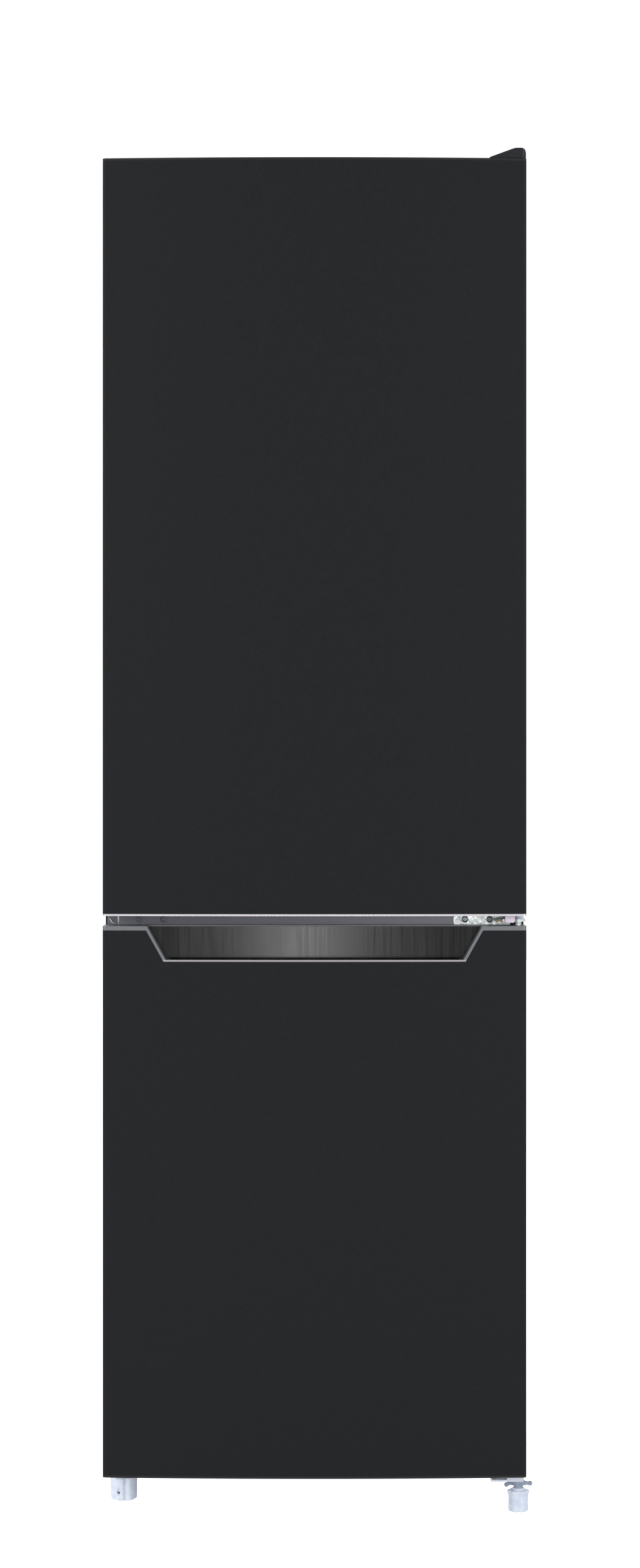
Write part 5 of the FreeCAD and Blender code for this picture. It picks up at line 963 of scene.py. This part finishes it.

# %% [markdown]
# ## Folded edges, rivets and a tongue
# The bottom bracket ends in a lip that is turned down in front, and the beam's strip is folded round its left
# edge; that fold is pale lacquer, a painted highlight on its bend. Both are short straight folds, so a slab
# with softened edges will do.

# %% Lip of the bottom bracket and end of the strip
bracket = box_mm("bottom_hinge")[0]
bm = bmesh.new()
slab(bm, (227.5, bracket[1], bracket[2] + 0.2), (249, bracket[1] + 2.4, bracket[2] + 5.8), 1.0)
add_solid("bracket_lip", bm, foot_bracket, "cabinet")

bm = bmesh.new()
low = (STRIP_LEFT, STRIP_FRONT - 0.9, STRIP_LOW + 0.5)
high = (STRIP_LEFT + 2, STRIP_FRONT + 0.2, STRIP_HIGH - 0.5)
slab(bm, low, high, 0.2)
# Pale lacquer on the strip's folded end: a painted highlight on its bend.
add_solid("strip_end", bm, bright_trim, "cabinet")
print("folded end of the strip, mm high:", high[2] - low[2])

# %% [markdown]
# In the gap between the doors two brass rivets show on the hinge's slanted edge, and the left bracket has
# a bright bent tongue in its cut-out. Rivets are turned domes; the tongue is a short bent wire.

# %% Rivets and the bracket's tongue
RIVET_Z = 763.6
bm = raised(round_about(0, 0), [(1.5, -1.5), (1.5, 0.5), (1.2, 1.0), (0.6, 1.3)], sides=24)
rivet = smooth_mesh("rivet", bm)
copies("hinge_rivets", rivet, [(236.6, -258.5, RIVET_Z), (241.4, -271, RIVET_Z)], FORWARD, brass, "cabinet")
tongue = [(-266.5, -238.2, 765.5), (-263.5, -238.8, 760.5), (-259.3, -238.4, 758.8)]
bent_tubes("bracket_tongue", [(tongue, 0.9, 2.0)], plated, "cabinet")
print("faces of a rivet:", len(rivet.polygons))

# %% [markdown]
# ## Lamp and thermostat
# Behind its ribbed lens the lamp is a small frosted bulb in a socket. Both are turned, and lie on their side.

# %% Bulb and socket
LAMP_Y, LAMP_Z = box_mm("lamp_cover")[1][1:]
BULB_X, BULB_AHEAD = 213, 14      # the bulb's middle, and how far its tip lies in front of the lamp's middle
bulb = [(0.5, -4), (4, -3.6), (7.5, -1.5), (9.5, 2), (10, 6), (9.5, 10), (7.5, 14.5), (6, 18), (5.8, 21)]
socket = [(6.4, 20), (8, 20), (8, 30), (3, 30)]
lie = Matrix.Translation(Vector((BULB_X, LAMP_Y - BULB_AHEAD, LAMP_Z)) * MM) @ BACKWARD
for name, profile, finish in (("lamp_bulb", bulb, frosted_glass), ("lamp_socket", socket, knob_white)):
    bm = raised(round_about(0, 0), profile, sides=40)
    bmesh.ops.transform(bm, matrix=lie, verts=bm.verts)
    add_solid(name, bm, finish, "cabinet")
print("lamp's middle:", LAMP_Y, LAMP_Z)

# %% [markdown]
# The lens is a thin plate with upright ribs. Bump would leave its outline flat, so a grid is folded like a
# fan, one column in and one out, and is then given its thickness.

# %% Ribbed lens
COLUMNS, RIB, WALL, LENS_X, LENS_WIDE, LENS_HIGH = 36, 0.9, 1.6, 198.8, 72, 69
bm = bmesh.new()
bmesh.ops.create_grid(bm, x_segments=COLUMNS, y_segments=1, size=0.5)
for vert in bm.verts:
    column = round((vert.co.x + 0.5) * COLUMNS)
    x, y, z = LENS_X + RIB * (column % 2), LAMP_Y + vert.co.x * LENS_WIDE, LAMP_Z + vert.co.y * LENS_HIGH
    vert.co = (x * MM, y * MM, z * MM)
bm.normal_update()
bmesh.ops.solidify(bm, geom=bm.faces[:], thickness=WALL * MM)
add_solid("ribbed_lens", bm, lamp_lens, "cabinet", "lamp_cover", sharp_degrees=30)
print("ribs of the lens:", COLUMNS // 2)

# %% [markdown]
# The housing has the numbers 0 to 5 around the dial: 0 is off, 5 is coldest. They are text turned into a
# mesh a tenth of a millimetre thick, about the thickness of print. The pointer rides on the knob.

# %% Numbers on the housing
HOUSING_X = box_mm("control_housing")[0][0]
DIAL_Y, DIAL_Z = box_mm("thermostat_knob")[1][1:]
NUMBER_RADIUS, NUMBER_STEP, NUMBER_HIGH, INK = 24.5, 56, 7.5, 0.1      # mm, degrees, mm, mm
face_left = Matrix(((0, 0, -1, 0), (-1, 0, 0, 0), (0, 1, 0, 0), (0, 0, 0, 1)))
bm = bmesh.new()
for number in range(6):
    text = bpy.data.curves.new("number", "FONT")
    text.body, text.align_x, text.align_y = str(number), "CENTER", "CENTER"
    text.size, text.extrude = NUMBER_HIGH * MM, INK * MM
    pattern = bpy.data.objects.new("number", text)
    mesh = bpy.data.meshes.new_from_object(pattern)
    bpy.data.objects.remove(pattern)
    before = len(bm.verts)
    bm.from_mesh(mesh)
    turn = math.radians(NUMBER_STEP * number)
    y, z = DIAL_Y + NUMBER_RADIUS * math.sin(turn), DIAL_Z + NUMBER_RADIUS * math.cos(turn)
    move = Matrix.Translation(Vector((HOUSING_X, y, z)) * MM) @ face_left
    bmesh.ops.transform(bm, matrix=move, verts=bm.verts[before:])
mesh = bpy.data.meshes.new("dial_numbers")
bm.to_mesh(mesh)
bm.free()
add_piece("dial_numbers", mesh, print_grey, "cabinet")
print("numbers turn round the dial through", NUMBER_STEP * number, "degrees")

# %% Pointer on the knob
KNOB_FACE = box_mm("thermostat_knob")[0][0]
bm = bmesh.new()
slab(bm, (KNOB_FACE - 0.4, DIAL_Y - 0.7, DIAL_Z + 6), (KNOB_FACE + 0.2, DIAL_Y + 0.7, DIAL_Z + 13), 0.1)
add_solid("pointer_mark", bm, pointer_red, "thermostat_knob")
print("pointer on the knob's face at", KNOB_FACE, "mm")

# %% [markdown]
# ## Defrost spout
# A short spout brings defrost water through the bay's roof to the pan on the warm compressor, where it
# dries up. It is a turned ring, open through its middle.

# %% Spout over the pan
SPOUT_X, SPOUT_TOP = SHELL_X + 30, 274.5
spout = [(5, SPOUT_TOP), (5, 244), (5.4, 240), (6.6, 240), (6.8, 244), (8, 262), (8, SPOUT_TOP)]
bm = raised(round_about(SPOUT_X, SHELL_Y), spout, sides=40, ring=True)
add_solid("defrost_spout", bm, seal_grey, "cabinet")
print("spout, mm long:", SPOUT_TOP - 240)

# %% [markdown]
# ## Flags on the lamps
# In a studio a flag, a black card on a stand, keeps a small lamp off everything but its subject. Light
# linking does the same: the strip reaches only the brushed plate, the foot light only the left foot
# and the bottom bracket, which stand in the door's shade, and the gap light only what shows between the
# doors: the beam with its strip and screws, the left bracket and the middle hinge.

# %% Let each small lamp reach only its subject
def light_only(lamp, *names):
    """Link a lamp to the named pieces alone."""
    group = bpy.data.collections.new(lamp.name + "_receivers")
    pieces = {**{piece.name: piece for piece in bpy.data.objects}, **frame["nodes"]}
    for name in names:
        group.objects.link(pieces[name])
    lamp.light_linking.receiver_collection = group
    print(lamp.name, "lights", len(names), "pieces")


light_only(lamps["grip_strip"], "grip_plate")
light_only(
    lamps["foot_light"], "left_foot_knob", "left_foot_rod", "left_foot_thread", "bottom_hinge", "bracket_lip",
)
light_only(
    lamps["gap_light"], "middle_beam", "beam_cover", "middle_hinge", "left_bracket", "strip_end",
    "strip_screws",
)
